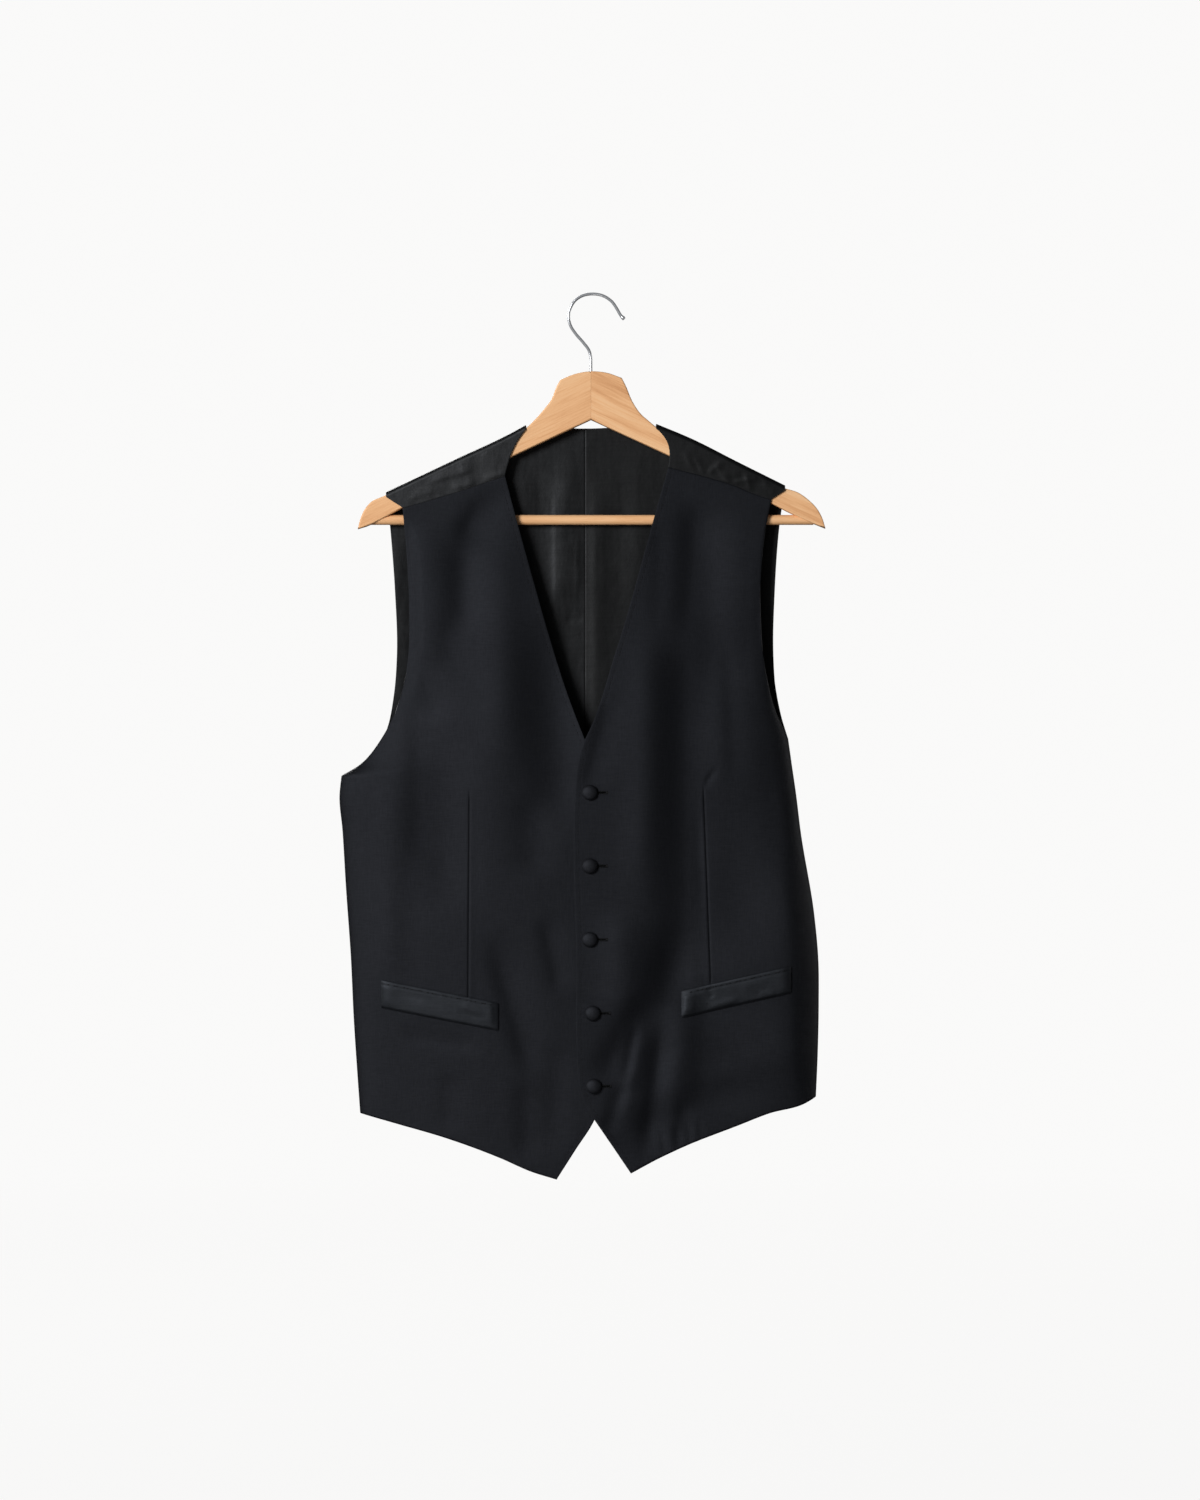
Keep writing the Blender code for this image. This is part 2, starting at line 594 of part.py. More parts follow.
def hanger(collection, cutters):
    """Two wooden halves glued at a mitre, drilled for the hook's stem and the bar's ends."""
    outline = bpy.data.curves.new("hanger_outline", "CURVE")
    outline.dimensions = "2D"
    outline.fill_mode = "BOTH"
    outline.extrude = HALF_WOOD * MM
    points = wood_outline()
    spline = outline.splines.new("POLY")
    spline.points.add(len(points) - 1)
    for point, (x, drop) in zip(spline.points, points):
        point.co = (x * MM, -drop * MM, 0, 1)
    spline.use_cyclic_u = True
    guide = bpy.data.objects.new("hanger_outline", outline)
    collection.objects.link(guide)
    bpy.context.view_layer.update()
    blank = bpy.data.meshes.new_from_object(guide.evaluated_get(bpy.context.evaluated_depsgraph_get()))
    bpy.data.objects.remove(guide)
    welded = bmesh.new()
    welded.from_mesh(blank)
    bmesh.ops.remove_doubles(welded, verts=welded.verts, dist=1e-5)
    bmesh.ops.dissolve_limit(welded, angle_limit=radians(0.5), verts=welded.verts, edges=welded.edges)
    welded.to_mesh(blank)
    welded.free()

    bar_hole = cutter(dowel(BAR_ROUND / 2 + DRILL_ROOM, BAR_HALF + DRILL_ROOM), cutters, "bar_hole")
    stem_foot = CROWN_DROP + STEM_SUNK + DRILL_ROOM
    bpy.ops.mesh.primitive_cylinder_add(
        vertices=16,
        radius=(WIRE / 2 + DRILL_ROOM) * MM,
        depth=2 * STEM_SUNK * MM,
        location=(0, 0, (STEM_SUNK - stem_foot) * MM),
    )
    stem_hole = cutter(bpy.context.object, cutters, "stem_hole")
    for side, name in ((-1, "hanger_arm_right"), (1, "hanger_arm_left")):
        across = (SEAM_GAP / 2 - HALF_CUT / 2) * side * MM
        bpy.ops.mesh.primitive_cube_add(size=HALF_CUT * MM, location=(across, 0, -CROWN_DROP * 2 * MM))
        other_half = cutter(bpy.context.object, cutters, f"{name}_other_half")
        arm = add(name, blank.copy(), BEECH, collection)
        arm.rotation_euler = (radians(90), 0, 0)
        rounded = arm.modifiers.new("rounded", "BEVEL")
        rounded.width = HANGER_ROUND * MM
        rounded.segments = 3
        rounded.limit_method = "ANGLE"
        rounded.angle_limit = radians(70)
        for cut in (bar_hole, stem_hole, other_half):
            boolean = arm.modifiers.new(cut.name, "BOOLEAN")
            boolean.operation = "DIFFERENCE"
            boolean.object = cut


def wire(name, rows, count, thickness, finish, collection):
    data = bpy.data.curves.new(name, "CURVE")
    data.dimensions = "3D"
    data.bevel_depth = thickness / 2 * MM
    data.bevel_resolution = 2
    data.use_fill_caps = True
    spline = data.splines.new("POLY")
    points = curve_at(rows, np.linspace(0, 1, count))
    spline.points.add(len(points) - 1)
    for point, (x, drop) in zip(spline.points, points):
        point.co = (x * MM, 0, -drop * MM, 1)
    return add(name, data, finish, collection)


def bar(collection):
    made = move_to(collection, dowel(BAR_ROUND / 2, BAR_HALF), "hanger_bar")
    made.data.materials.append(material(*BEECH))
    made.data.shade_smooth()
    made.data.set_sharp_from_angle(angle=radians(40))


def main():
    for left_over in list(bpy.data.objects):
        bpy.data.objects.remove(left_over)
    waistcoat = new_collection("waistcoat_on_hanger")
    cutters = new_collection("cutters")

    hanger(waistcoat, cutters)
    bar(waistcoat)
    wire("hanger_hook", HOOK_PATH, HOOK_POINTS, WIRE, CHROME, waistcoat)

    right = Panel(
        RIGHT_SHOULDER, RIGHT_HEM, (RIGHT_ARMHOLE, RIGHT_SIDE), RIGHT_EDGE, RIGHT_SECTIONS, RIGHT_TURN, UNDERARM
    )
    left = Panel(
        LEFT_SHOULDER, LEFT_HEM, (LEFT_ARMHOLE, LEFT_SIDE), LEFT_EDGE, LEFT_SECTIONS, LEFT_TURN, UNDERARM
    )
    under = front("front_right", right, waistcoat)
    over = front("front_left", left, waistcoat)
    back_side_right = [edge._replace(y=SIDE_EDGE) for edge in RIGHT_SIDE]
    back_side_left = [edge._replace(y=SIDE_EDGE) for edge in LEFT_SIDE]
    back("back_right", RIGHT_FOLD, RIGHT_SHOULDER, RIGHT_NECK_BOW, BACK_RIGHT_ARMHOLE, back_side_right, waistcoat)
    back("back_left", LEFT_FOLD, LEFT_SHOULDER, LEFT_NECK_BOW, BACK_LEFT_ARMHOLE, back_side_left, waistcoat)

    welt("welt_right", under, RIGHT_WELT, waistcoat)
    welt("welt_left", over, LEFT_WELT, waistcoat)
    for number, place in enumerate(BUTTONS, start=1):
        button(f"button_{number}", over, place, waistcoat)


main()
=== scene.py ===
"""The looks of a suit waistcoat, buttoned on a flat wooden hanger: cloth, sewing, wood, wire and light.

Tables are in millimetres: x to the wearer's left, drop down from the hook's inside, y from front to back.
"""

from collections import namedtuple
from math import cos, hypot, pi, radians, sin

import bmesh
import bpy
import numpy as np
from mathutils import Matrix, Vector
from mathutils.bvhtree import BVHTree


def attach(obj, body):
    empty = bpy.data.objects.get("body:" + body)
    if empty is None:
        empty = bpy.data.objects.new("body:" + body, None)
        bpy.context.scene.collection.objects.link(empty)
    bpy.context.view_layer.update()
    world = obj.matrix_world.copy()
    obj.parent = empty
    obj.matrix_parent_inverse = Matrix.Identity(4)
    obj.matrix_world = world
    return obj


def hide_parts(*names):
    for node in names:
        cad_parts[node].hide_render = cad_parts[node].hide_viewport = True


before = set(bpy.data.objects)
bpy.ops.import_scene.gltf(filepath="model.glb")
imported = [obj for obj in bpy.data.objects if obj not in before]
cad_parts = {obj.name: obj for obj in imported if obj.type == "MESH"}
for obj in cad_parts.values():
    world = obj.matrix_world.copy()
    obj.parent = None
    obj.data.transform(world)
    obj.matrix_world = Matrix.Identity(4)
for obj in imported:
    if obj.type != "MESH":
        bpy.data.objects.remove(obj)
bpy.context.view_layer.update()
MM = 0.001
root = "root"


# --------------------------------------------------------------------
# The camera stands straight in front, level with the middle of the waistcoat, and well back, so that its
# lines stay upright. The picture is 1.43 m high at the hanger.
CAMERA_AWAY = 5.0
CAMERA_ASIDE = 0.0086
CAMERA_DOWN = 0.4335
PICTURE_HEIGHT = 1.4306


def put(name, data):
    """A new object with this data, in the scene."""
    made = bpy.data.objects.new(name, data)
    bpy.context.scene.collection.objects.link(made)
    return made


lens = bpy.data.cameras.new("camera")
lens.sensor_width = 36.0
lens.lens = lens.sensor_width * CAMERA_AWAY / PICTURE_HEIGHT
camera = put("camera", lens)
camera.location = (CAMERA_ASIDE, -CAMERA_AWAY, -CAMERA_DOWN)
camera.rotation_euler = (radians(90), 0, 0)
bpy.context.scene.camera = camera
bpy.context.scene.view_settings.view_transform = "Standard"


# --------------------------------------------------------------------
# The hook is one length of bright chromed wire. Its stem is pressed into the crown of the wood, and its free
# end is hammered to a small flat head.
WIRE = 2.8
CROWN_DROP = 72.7
STEM_SUNK = 12.0
WIRE_RINGS, WIRE_SIDES = 150, 20
WIRE_HEAD = (1.42, 1.5, 1.66, 1.9, 1.9, 1.6)  # radii of the last rings, where the end is hammered
# x and drop along the wire, from its foot in the wood to its free end
HOOK_PATH = (
    (0, CROWN_DROP + STEM_SUNK), (0, 66), (-0.2, 58.9), (-1.9, 52.5), (-7.1, 45.2),
    (-14.7, 36.4), (-19.6, 28.6), (-21.4, 20.3), (-19.7, 12), (-15.3, 5),
    (-8.5, 0.4), (0.5, -WIRE / 2), (10.9, 0.1), (19.6, 5.6), (25, 13.2),
    (28.4, 19), (31.8, 22.6),
)


def curve_at(rows, shares):
    """Points of the smooth curve through the rows, at these shares of its length."""
    points = np.array(rows, float)
    steps = np.linalg.norm(np.diff(points[:, :2], axis=0), axis=1)
    along = np.concatenate([[0], np.cumsum(steps)]) / steps.sum()
    slopes = np.gradient(points, along, axis=0)
    i = np.clip(np.searchsorted(along, shares) - 1, 0, len(along) - 2)
    span = (along[i + 1] - along[i])[:, None]
    t = (np.asarray(shares)[:, None] - along[i][:, None]) / span
    return (
        (2 * t**3 - 3 * t**2 + 1) * points[i]
        + (t**3 - 2 * t**2 + t) * span * slopes[i]
        + (3 * t**2 - 2 * t**3) * points[i + 1]
        + (t**3 - t**2) * span * slopes[i + 1]
    )


def tube(points, radii, sides):
    """Corners and faces of a closed tube along these points, with a radius at each, in the points' units."""
    points = np.asarray(points, float)
    along = np.gradient(points, axis=0)
    along /= np.linalg.norm(along, axis=1)[:, None]
    side = np.cross(along[0], np.eye(3)[np.argmin(abs(along[0]))])
    corners, faces = [], []
    for point, ahead, radius in zip(points, along, radii):
        side = side - ahead * (side @ ahead)
        side /= np.linalg.norm(side)
        other = np.cross(ahead, side)
        turn = np.linspace(0, 2 * pi, sides, endpoint=False)[:, None]
        corners.append(point + radius * (np.cos(turn) * side + np.sin(turn) * other))
    for ring in range(len(points) - 1):
        for k in range(sides):
            low, high = ring * sides, (ring + 1) * sides
            faces.append((low + k, low + (k + 1) % sides, high + (k + 1) % sides, high + k))
    last = (len(points) - 1) * sides
    faces.append(tuple(range(sides))[::-1])
    faces.append(tuple(range(last, last + sides)))
    return np.concatenate(corners), faces


def in_metres(points):
    """Points of (x, y, drop) in millimetres as (x, y, z) in metres."""
    points = np.asarray(points, float)
    return np.stack([points[..., 0], points[..., 1], -points[..., 2]], axis=-1) * MM


def new_piece(name, corners, faces, *materials):
    """A shown mesh of the waistcoat, smooth, which goes with the one body."""
    mesh = bpy.data.meshes.new(name)
    mesh.from_pydata([tuple(c) for c in corners], [], faces)
    mesh.validate()
    mesh.shade_smooth()
    for material in materials:
        mesh.materials.append(material)
    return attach(put(name, mesh), root)


def finish(name, colour, **sockets):
    """A new material with its shader's sockets set, and the shader."""
    made = bpy.data.materials.new(name)
    made.use_nodes = True
    shader = made.node_tree.nodes["Principled BSDF"]
    shader.inputs["Base Color"].default_value = (*colour, 1)
    for socket, value in sockets.items():
        shader.inputs[socket.replace("_", " ")].default_value = value
    return made, shader


def add_node(material, kind, inputs=(), **settings):
    """A node of the material, with its inputs set or joined."""
    made = material.node_tree.nodes.new("ShaderNode" + kind)
    for name, value in settings.items():
        setattr(made, name, value)
    for name, value in dict(inputs).items():
        if isinstance(value, bpy.types.NodeSocket):
            material.node_tree.links.new(value, made.inputs[name])
        else:
            made.inputs[name].default_value = value
    return made


def join(material, output, shader, socket):
    """Joins a node's output to this socket of the shader."""
    material.node_tree.links.new(output, shader.inputs[socket])


def stretched(material, scale, turn=0.0):
    """Coordinates of the piece, turned about the front-to-back axis by turn and scaled."""
    place = add_node(material, "TexCoord").outputs["Object"]
    turning = {"Vector": place, "Rotation": (0, turn, 0)}
    turned = add_node(material, "Mapping", turning, vector_type="TEXTURE")
    scaling = {"Vector": turned.outputs["Vector"], "Scale": scale}
    return add_node(material, "Mapping", scaling).outputs["Vector"]


def noise(material, scale, turn=0.0, detail=3.0, roughness=0.55):
    """How strong a noise is at each place, from 0 to 1. The scale is in cells a metre along x, y and z."""
    place = stretched(material, scale, turn)
    inputs = {"Vector": place, "Scale": 1.0, "Detail": detail, "Roughness": roughness}
    return add_node(material, "TexNoise", inputs).outputs["Fac"]


def between(material, amount, low, high, first, last):
    """A value that goes from first to last as amount goes from low to high."""
    inputs = {"Value": amount, "From Min": low, "From Max": high, "To Min": first, "To Max": last}
    return add_node(material, "MapRange", inputs).outputs["Result"]


def tones(material, amount, *stops):
    """A colour from these (place, colour) stops."""
    ramp = add_node(material, "ValToRGB", {"Fac": amount})
    elements = ramp.color_ramp.elements
    while len(elements) < len(stops):
        elements.new(0.5)
    for element, (place, colour) in zip(elements, stops):
        element.position = place
        element.color = (*colour, 1)
    return ramp.outputs["Color"]


def product(material, *values):
    """The product of these values."""
    made = values[0]
    for value in values[1:]:
        made = add_node(material, "Math", {0: made, 1: value}, operation="MULTIPLY").outputs["Value"]
    return made


def total(material, *values):
    """The sum of these values."""
    made = values[0]
    for value in values[1:]:
        made = add_node(material, "Math", {0: made, 1: value}, operation="ADD").outputs["Value"]
    return made


def raised(material, shader, height, depth_mm):
    """Joins a height from 0 to 1 to the shader as relief of this depth."""
    inputs = {"Height": height, "Distance": depth_mm * MM, "Strength": 1.0}
    join(material, add_node(material, "Bump", inputs).outputs["Normal"], shader, "Normal")


chrome, chrome_shader = finish(
    "chrome",
    (0.60, 0.61, 0.63),
    Metallic=0.6,
    Specular_Tint=(0.35, 0.35, 0.36, 1),
)
chrome_wear = noise(chrome, (900, 900, 900))
join(chrome, between(chrome, chrome_wear, 0.3, 0.7, 0.14, 0.24), chrome_shader, "Roughness")
raised(chrome, chrome_shader, noise(chrome, (300, 300, 300), detail=1.0), 0.01)

hook_points = curve_at(HOOK_PATH, np.linspace(0, 1, WIRE_RINGS))
hook_line = in_metres([(x, 0, drop) for x, drop in hook_points])
hook_radii = np.full(WIRE_RINGS, WIRE / 2)
hook_radii[-len(WIRE_HEAD) :] = WIRE_HEAD
hook = new_piece("wire_hook", *tube(hook_line, hook_radii * MM, WIRE_SIDES), chrome)
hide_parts("hanger_hook")


# --------------------------------------------------------------------
# The hanger's two arms are sawn from light beech board, mitred and glued at the middle, with every long edge
# rounded and sanded. The grain runs along each arm.
HANGER_THICK = 13.0
HANGER_ROUND = 3.0
MITRE_GAP = 0.02
MITRE_EASED = 0.07  # of the rounding of the other edges
MITRE_CLEAR = 0.6
NOTCH_DROP = 118.7
ARM_SLOPE = radians(25.3)
UNDER_FOLD = 3.2
# x and drop along each stretch of the outline, seen from the front
WOOD_CROWN = (
    (-29.2, 80.8), (-15.3, 75.2), (0, CROWN_DROP), (15.3, 74.1),
    (29.4, 79),
)
WOOD_RIGHT_TOP = (
    (-29.2, 80.8), (-32.2, 85.9), (-38, 99.9), (-45, 109.1),
    (-54, 119.3), (-63, 127.6), (-75, 130.6 + UNDER_FOLD), (-130, 156.6 + UNDER_FOLD),
    (-192, 185.9 + UNDER_FOLD), (-200.5, 192.8), (-208, 196), (-214.6, 202.7),
    (-219.4, 212.2), (-222.2, 222.8),
)
WOOD_LEFT_TOP = (
    (29.4, 79), (32.9, 85.9), (39.9, 102.1), (48, 113.8),
    (55, 119.9), (63, 126.5), (94.4, 135.9 + UNDER_FOLD), (140, 158.8 + UNDER_FOLD),
    (184, 180.7 + UNDER_FOLD), (197, 188), (207.7, 195.5), (215.1, 203.1),
    (220, 211.6), (223.4, 222.3),
)
WOOD_LEFT_BELOW = (
    (223.4, 222.3), (207.7, 215.9), (191.9, 208.6), (172.3, 198.8),
    (75.2, 153.3), (0, NOTCH_DROP),
)
WOOD_RIGHT_BELOW = (
    (0, NOTCH_DROP), (-76.3, 154.4), (-181.3, 203.7), (-200, 213.8),
    (-211.5, 219.4), (-222.2, 222.8),
)


def wood_outline():
    """The whole outline: each stretch is smooth, with a corner where it meets the next."""
    stretches = (
        (WOOD_CROWN, 30),
        (WOOD_LEFT_TOP, 90),
        (WOOD_LEFT_BELOW, 30),
        (WOOD_RIGHT_BELOW, 30),
        (WOOD_RIGHT_TOP[::-1], 90),
    )
    return [
        tuple(point)
        for rows, count in stretches
        for point in curve_at(rows, np.linspace(0, 1, count, endpoint=False))
    ]


def arm(name, side, material):
    """One arm: its half of the outline as a board, with all edges but the mitre's rounded."""
    mitre = side * MITRE_GAP / 2
    points = [place for place in wood_outline() if place[0] * side > abs(mitre) + MITRE_CLEAR]
    if side > 0:
        points = [(mitre, CROWN_DROP), *points, (mitre, NOTCH_DROP)]
    else:
        steps = np.linalg.norm(np.diff(points, axis=0), axis=1)
        start = int(np.argmax(steps)) + 1
        points = points[start:] + points[:start]
        points = [(mitre, NOTCH_DROP), *points, (mitre, CROWN_DROP)]
    board = bmesh.new()
    front = [board.verts.new((x * MM, -HANGER_THICK / 2 * MM, -drop * MM)) for x, drop in points]
    back = [board.verts.new((x * MM, HANGER_THICK / 2 * MM, -drop * MM)) for x, drop in points]
    board.faces.new(front[::-1])
    board.faces.new(back)
    for k in range(len(points)):
        following = (k + 1) % len(points)
        board.faces.new((front[k], front[following], back[following], back[k]))
    bmesh.ops.recalc_face_normals(board, faces=board.faces)
    weight = board.edges.layers.float.new("bevel_weight_edge")
    for edge in board.edges:
        flat = abs(edge.verts[0].co.y - edge.verts[1].co.y) < 1e-6
        at_mitre = all(abs(v.co.x - mitre * MM) < 1e-6 for v in edge.verts)
        edge[weight] = 0.0 if not flat else MITRE_EASED if at_mitre else 1.0
    mesh = bpy.data.meshes.new(name)
    board.to_mesh(mesh)
    board.free()
    mesh.materials.append(material)
    mesh.shade_smooth()
    mesh.set_sharp_from_angle(angle=radians(40))
    made = put(name, mesh)
    rounding = made.modifiers.new("rounding", "BEVEL")
    rounding.width = HANGER_ROUND * MM
    rounding.segments = 6
    rounding.limit_method = "WEIGHT"
    rounding.harden_normals = True
    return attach(made, root)


def beech(name, turn, figure):
    """Beech with its grain along one arm: uneven bands, fine fibres and short dark flecks."""
    made, shader = finish(name, (0.70, 0.38, 0.18), Roughness=0.5, Specular_IOR_Level=0.35)
    broad = noise(made, (7, 7, 26), turn, detail=1.0)
    bands = noise(made, (9, 9, 150), turn, detail=2.5, roughness=0.5)
    fibres = noise(made, (40, 40, 1100), turn, detail=4.0)
    flecks = noise(made, (330, 330, 2600), turn, detail=1.0)
    growth = between(made, bands, 0.28, 0.66, -figure, figure)
    cloud = between(made, broad, 0.25, 0.75, -0.16, 0.16)
    hairs = between(made, fibres, 0.25, 0.75, -0.20, 0.20)
    dark = between(made, flecks, 0.60, 0.74, 0.0, -0.16)
    shade = total(made, 0.58, growth, cloud, hairs, dark)
    colour = tones(
        made,
        shade,
        (0.05, (0.565, 0.256, 0.098)),
        (0.38, (0.74, 0.38, 0.170)),
        (0.62, (0.845, 0.469, 0.226)),
        (0.95, (0.895, 0.551, 0.294)),
    )
    join(made, colour, shader, "Base Color")
    join(made, between(made, fibres, 0.3, 0.7, 0.44, 0.58), shader, "Roughness")
    raised(made, shader, total(made, fibres, product(made, flecks, 0.6)), 0.03)
    return made


right_arm = arm("wooden_arm_right", -1, beech("beech_right", -ARM_SLOPE, 0.10))
left_arm = arm("wooden_arm_left", 1, beech("beech_left", ARM_SLOPE, 0.30))
for piece, node_name in ((right_arm, "hanger_arm_right"), (left_arm, "hanger_arm_left")):
    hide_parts(node_name)


# --------------------------------------------------------------------
# The bar is a turned beech dowel, glued into a hole near each arm's tip. It crosses behind the fronts and
# before the back.
BAR_ROUND = 9.5
BAR_DROP = 214.1
BAR_HALF = 212.0
BAR_RINGS, BAR_SIDES = 30, 40
bar_line = in_metres([(x, 0, BAR_DROP) for x in np.linspace(-BAR_HALF, BAR_HALF, BAR_RINGS)])
bar_mesh = tube(bar_line, np.full(BAR_RINGS, BAR_ROUND / 2 * MM), BAR_SIDES)
bar = new_piece("wooden_bar", *bar_mesh, beech("beech_bar", 0.0, 0.12))
bar.data.set_sharp_from_angle(angle=radians(50))
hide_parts("hanger_bar")


# --------------------------------------------------------------------
# The back is two halves of black satin lining cloth, seamed down the middle. At each shoulder it comes over
# the arm and down in front, where it is sewn to the front's shoulder.
WALL = 1.6
SATIN_THICK = 1.2
CLOTH_OFF_WOOD = 0.6
ARM_Y = HANGER_THICK / 2 + CLOTH_OFF_WOOD + WALL / 2
WRAP_RADIUS = HANGER_ROUND + CLOTH_OFF_WOOD + WALL / 2
SHOULDER_GAP = 0.25
SIDE_EDGE = 0.02
CENTRE_GAP = 0.02
SEAM_DIP = 0.5
BACK_CENTRE_X = -5.6
BACK_NECK_DROP = 126.4
BACK_HEM_DROP = 765.0
HEM_HOLLOW = 1.5
BACK_DEPTH = 8.4
BACK_TURN = 0.07, 0.07  # shares of a panel's width that turn in to the side, at the armhole and below it
BACK_ROUND = 2  # how squarely a panel turns in: 2 is round
UNDERARM = 0.41  # share of a panel's height that is armhole
TURN_CHANGES = 0.12
FOLDS_BELOW, FOLDS_INSIDE = 0.05, 0.12
CREASE_ENDS = 0.3
RIM_SHARE = 0.35
RIGHT_NECK_BOW, LEFT_NECK_BOW = -3.5, 6.5
BACK_ROWS, TURN_COLUMNS, SHOULDER_COLUMNS, NECK_COLUMNS = 230, 9, 69, 30
NEAR_CENTRE = (3.4, 2.0, 1.2, 0.7, 0.35, 0.12, 0.0)
WRAP_STEPS, FLAP_ROWS = 9, 34
Place = namedtuple("Place", "x drop")
Edge = namedtuple("Edge", "x drop y")
Section = namedtuple("Section", "drop turn bulge")
Panel = namedtuple("Panel", "top bottom outer inner sections turn_shares round")
Roll = namedtuple("Roll", "deep wide")
CENTRE_SEAM = Roll(0.25, 0.6)
RIGHT_FOLD = (Place(-195.1, 187.4), Place(-130.0, 156.6), Place(-75.0, 130.6), Place(-62.0, 123.4))
LEFT_FOLD = (Place(184.8, 181.1), Place(140.0, 158.8), Place(94.4, 135.9), Place(62.0, 122.4))
RIGHT_SHOULDER = (Place(-179.3, 203.0), Place(-130.7, 188.7), Place(-82.0, 172.4))
LEFT_SHOULDER = (
    Place(171.7, 195),
    Place(153.5, 188.6),
    Place(138, 181.8),
    Place(115.9, 175),
    Place(73.8, 164),
)
BACK_RIGHT_ARMHOLE = (
    Edge(-194.5, 194, ARM_Y),
    Edge(-191, 230, BACK_DEPTH),
    Edge(-187.3, 280.9, BACK_DEPTH),
    Edge(-185.5, 345, BACK_DEPTH),
    Edge(-188.4, 381.5, BACK_DEPTH),
    Edge(-197.6, 421, 7),
    Edge(-216.5, 446.5, 4),
    Edge(-237.3, 458.5, SIDE_EDGE),
)
BACK_LEFT_ARMHOLE = (
    Edge(184.2, 188, ARM_Y),
    Edge(180, 219.4, BACK_DEPTH),
    Edge(175.2, 289.4, BACK_DEPTH),
    Edge(174.1, 335, BACK_DEPTH),
    Edge(176.4, 375, 8),
    Edge(181.3, 402, 5),
    Edge(187.3, 422.5, SIDE_EDGE),
)
RIGHT_SIDE = (
    Place(-237.3, 458.5),
    Place(-239.1, 476.4),
    Place(-236.3, 510),
    Place(-233, 564),
    Place(-228.3, 631),
    Place(-225.5, 690),
    Place(-221.8, 746),
    Place(-219.4, 779.3),
)
LEFT_SIDE = (
    Place(187.3, 422.5),
    Place(190.6, 446),
    Place(195, 476.4),
    Place(199.1, 510),
    Place(212.4, 592),
    Place(216, 631),
    Place(216.5, 676),
    Place(215.5, 724),
    Place(213.8, 763.4),
)
BACK_SECTIONS = (Section(180.0, BACK_DEPTH, 0.0), Section(780.0, BACK_DEPTH, 0.0))
# Each crease: x and drop of both its ends, the widths of its two sides, its depth and its bow
BACK_CREASES = (
    (-24, 136, -28, 318, 10, 14, -1, 2),
    (-34, 176, -34, 306, 2.4, 6, -0.4, 0),
    (-13.5, 224, -13.5, 290, 2, 5, -0.25, 0),
    (5, 140, 5, 452, 7, 24, -1.1, 0),
    (-173, 205, -172, 440, 10, 15, 1.1, 0),
    (-52, 150, -49, 300, 9, 12, 0.5, 2),
    (26, 170, 20, 370, 10, 14, 0.6, -3),
    (44, 146, 38, 300, 9, 12, -0.5, 3),
    (-26, 310, -7, 310.5, 2.2, 3.2, 0.5, 0.6),
    (-40, 236, -14, 229, 4, 6, 0.25, -1),
    (6, 262, 26, 270, 5, 4, -0.2, 1),
    (-182, 318, -168, 322, 2.2, 3.4, -0.7, 0.5),
    (-184, 331, -170, 338, 3.2, 2.4, 0.5, 0.5),
    (-128, 205, -88, 470, 19, 26, -3.4, 8),
    (-152, 240, -134, 452, 9, 14, 1.7, 7),
    (-66, 320, -92, 560, 12, 19, 2.2, -7),
    (-58, 470, -86, 735, 16, 22, -3.2, 5),
    (-104, 500, -132, 758, 11, 15, 2, -9),
    (-172, 452, -150, 690, 15, 21, -2.7, 6),
    (-204, 480, -188, 752, 9, 13, 1.5, 7),
    (-29, 530, -42, 752, 8, 11, -1.3, 4),
    (-128, 650, -112, 768, 7, 9, 1, -2),
    (98, 200, 76, 430, 17, 24, -3.6, -6),
    (130, 228, 112, 520, 10, 15, 1.9, -8),
    (60, 400, 92, 690, 18, 25, -3.6, 7),
    (34, 440, 44, 752, 9, 13, -1.6, -6),
    (120, 470, 110, 752, 8, 12, 1.6, 5),
    (152, 540, 142, 748, 13, 18, -2.6, 4),
    (184, 450, 196, 740, 8, 11, 1.5, -5),
    (66, 660, 80, 766, 6, 9, 1.1, 2),
    (-8, 560, 22, 640, 6, 8, 0.8, 2),
    (-96, 596, -44, 632, 5, 8, 0.8, -2),
)
# Wrinkles of the satin over the arms, where it shows in front: outwards only, for the wood is close behind
STRAP_CREASES = (
    (-158, 180, -108, 166, 2.7, 5.1, -0.42, 1),
    (-134, 184, -108, 178, 2.2, 4.2, -0.34, -1),
    (-104, 174, -80, 170, 3.6, 3.2, -0.38, -1),
    (-176, 196, -140, 184, 3.3, 5.4, -0.29, 1.5),
    (-106, 150, -84, 160, 3.6, 4.8, -0.25, 1),
    (-126, 158, -118, 172, 3, 4.2, -0.17, 0),
    (130, 181, 164, 174, 3.3, 2.4, -0.46, 1),
    (110, 172, 128, 158, 3.3, 2.6, -0.42, 1),
    (98, 153, 108, 172, 2.4, 3.5, -0.34, 0.5),
    (88, 148, 96, 166, 2.7, 4.2, -0.29, 0.5),
    (118, 160, 136, 184, 2.4, 3.5, -0.34, -1),
    (146, 168, 152, 188, 2.4, 3.8, -0.29, 0.5),
    (162, 178, 176, 190, 3, 4.2, -0.25, 0.5),
    (124, 170, 142, 172, 2.4, 2.9, -0.25, 0),
)


def outer_at(panel, v):
    """The outer edge, armhole then side, whose corner is the underarm."""
    armhole, side = panel.outer
    above = curve_at(armhole, np.clip(v / UNDERARM, 0, 1))
    below = curve_at(side, np.clip((v - UNDERARM) / (1 - UNDERARM), 0, 1))
    return np.where((v <= UNDERARM)[:, None], above, below)


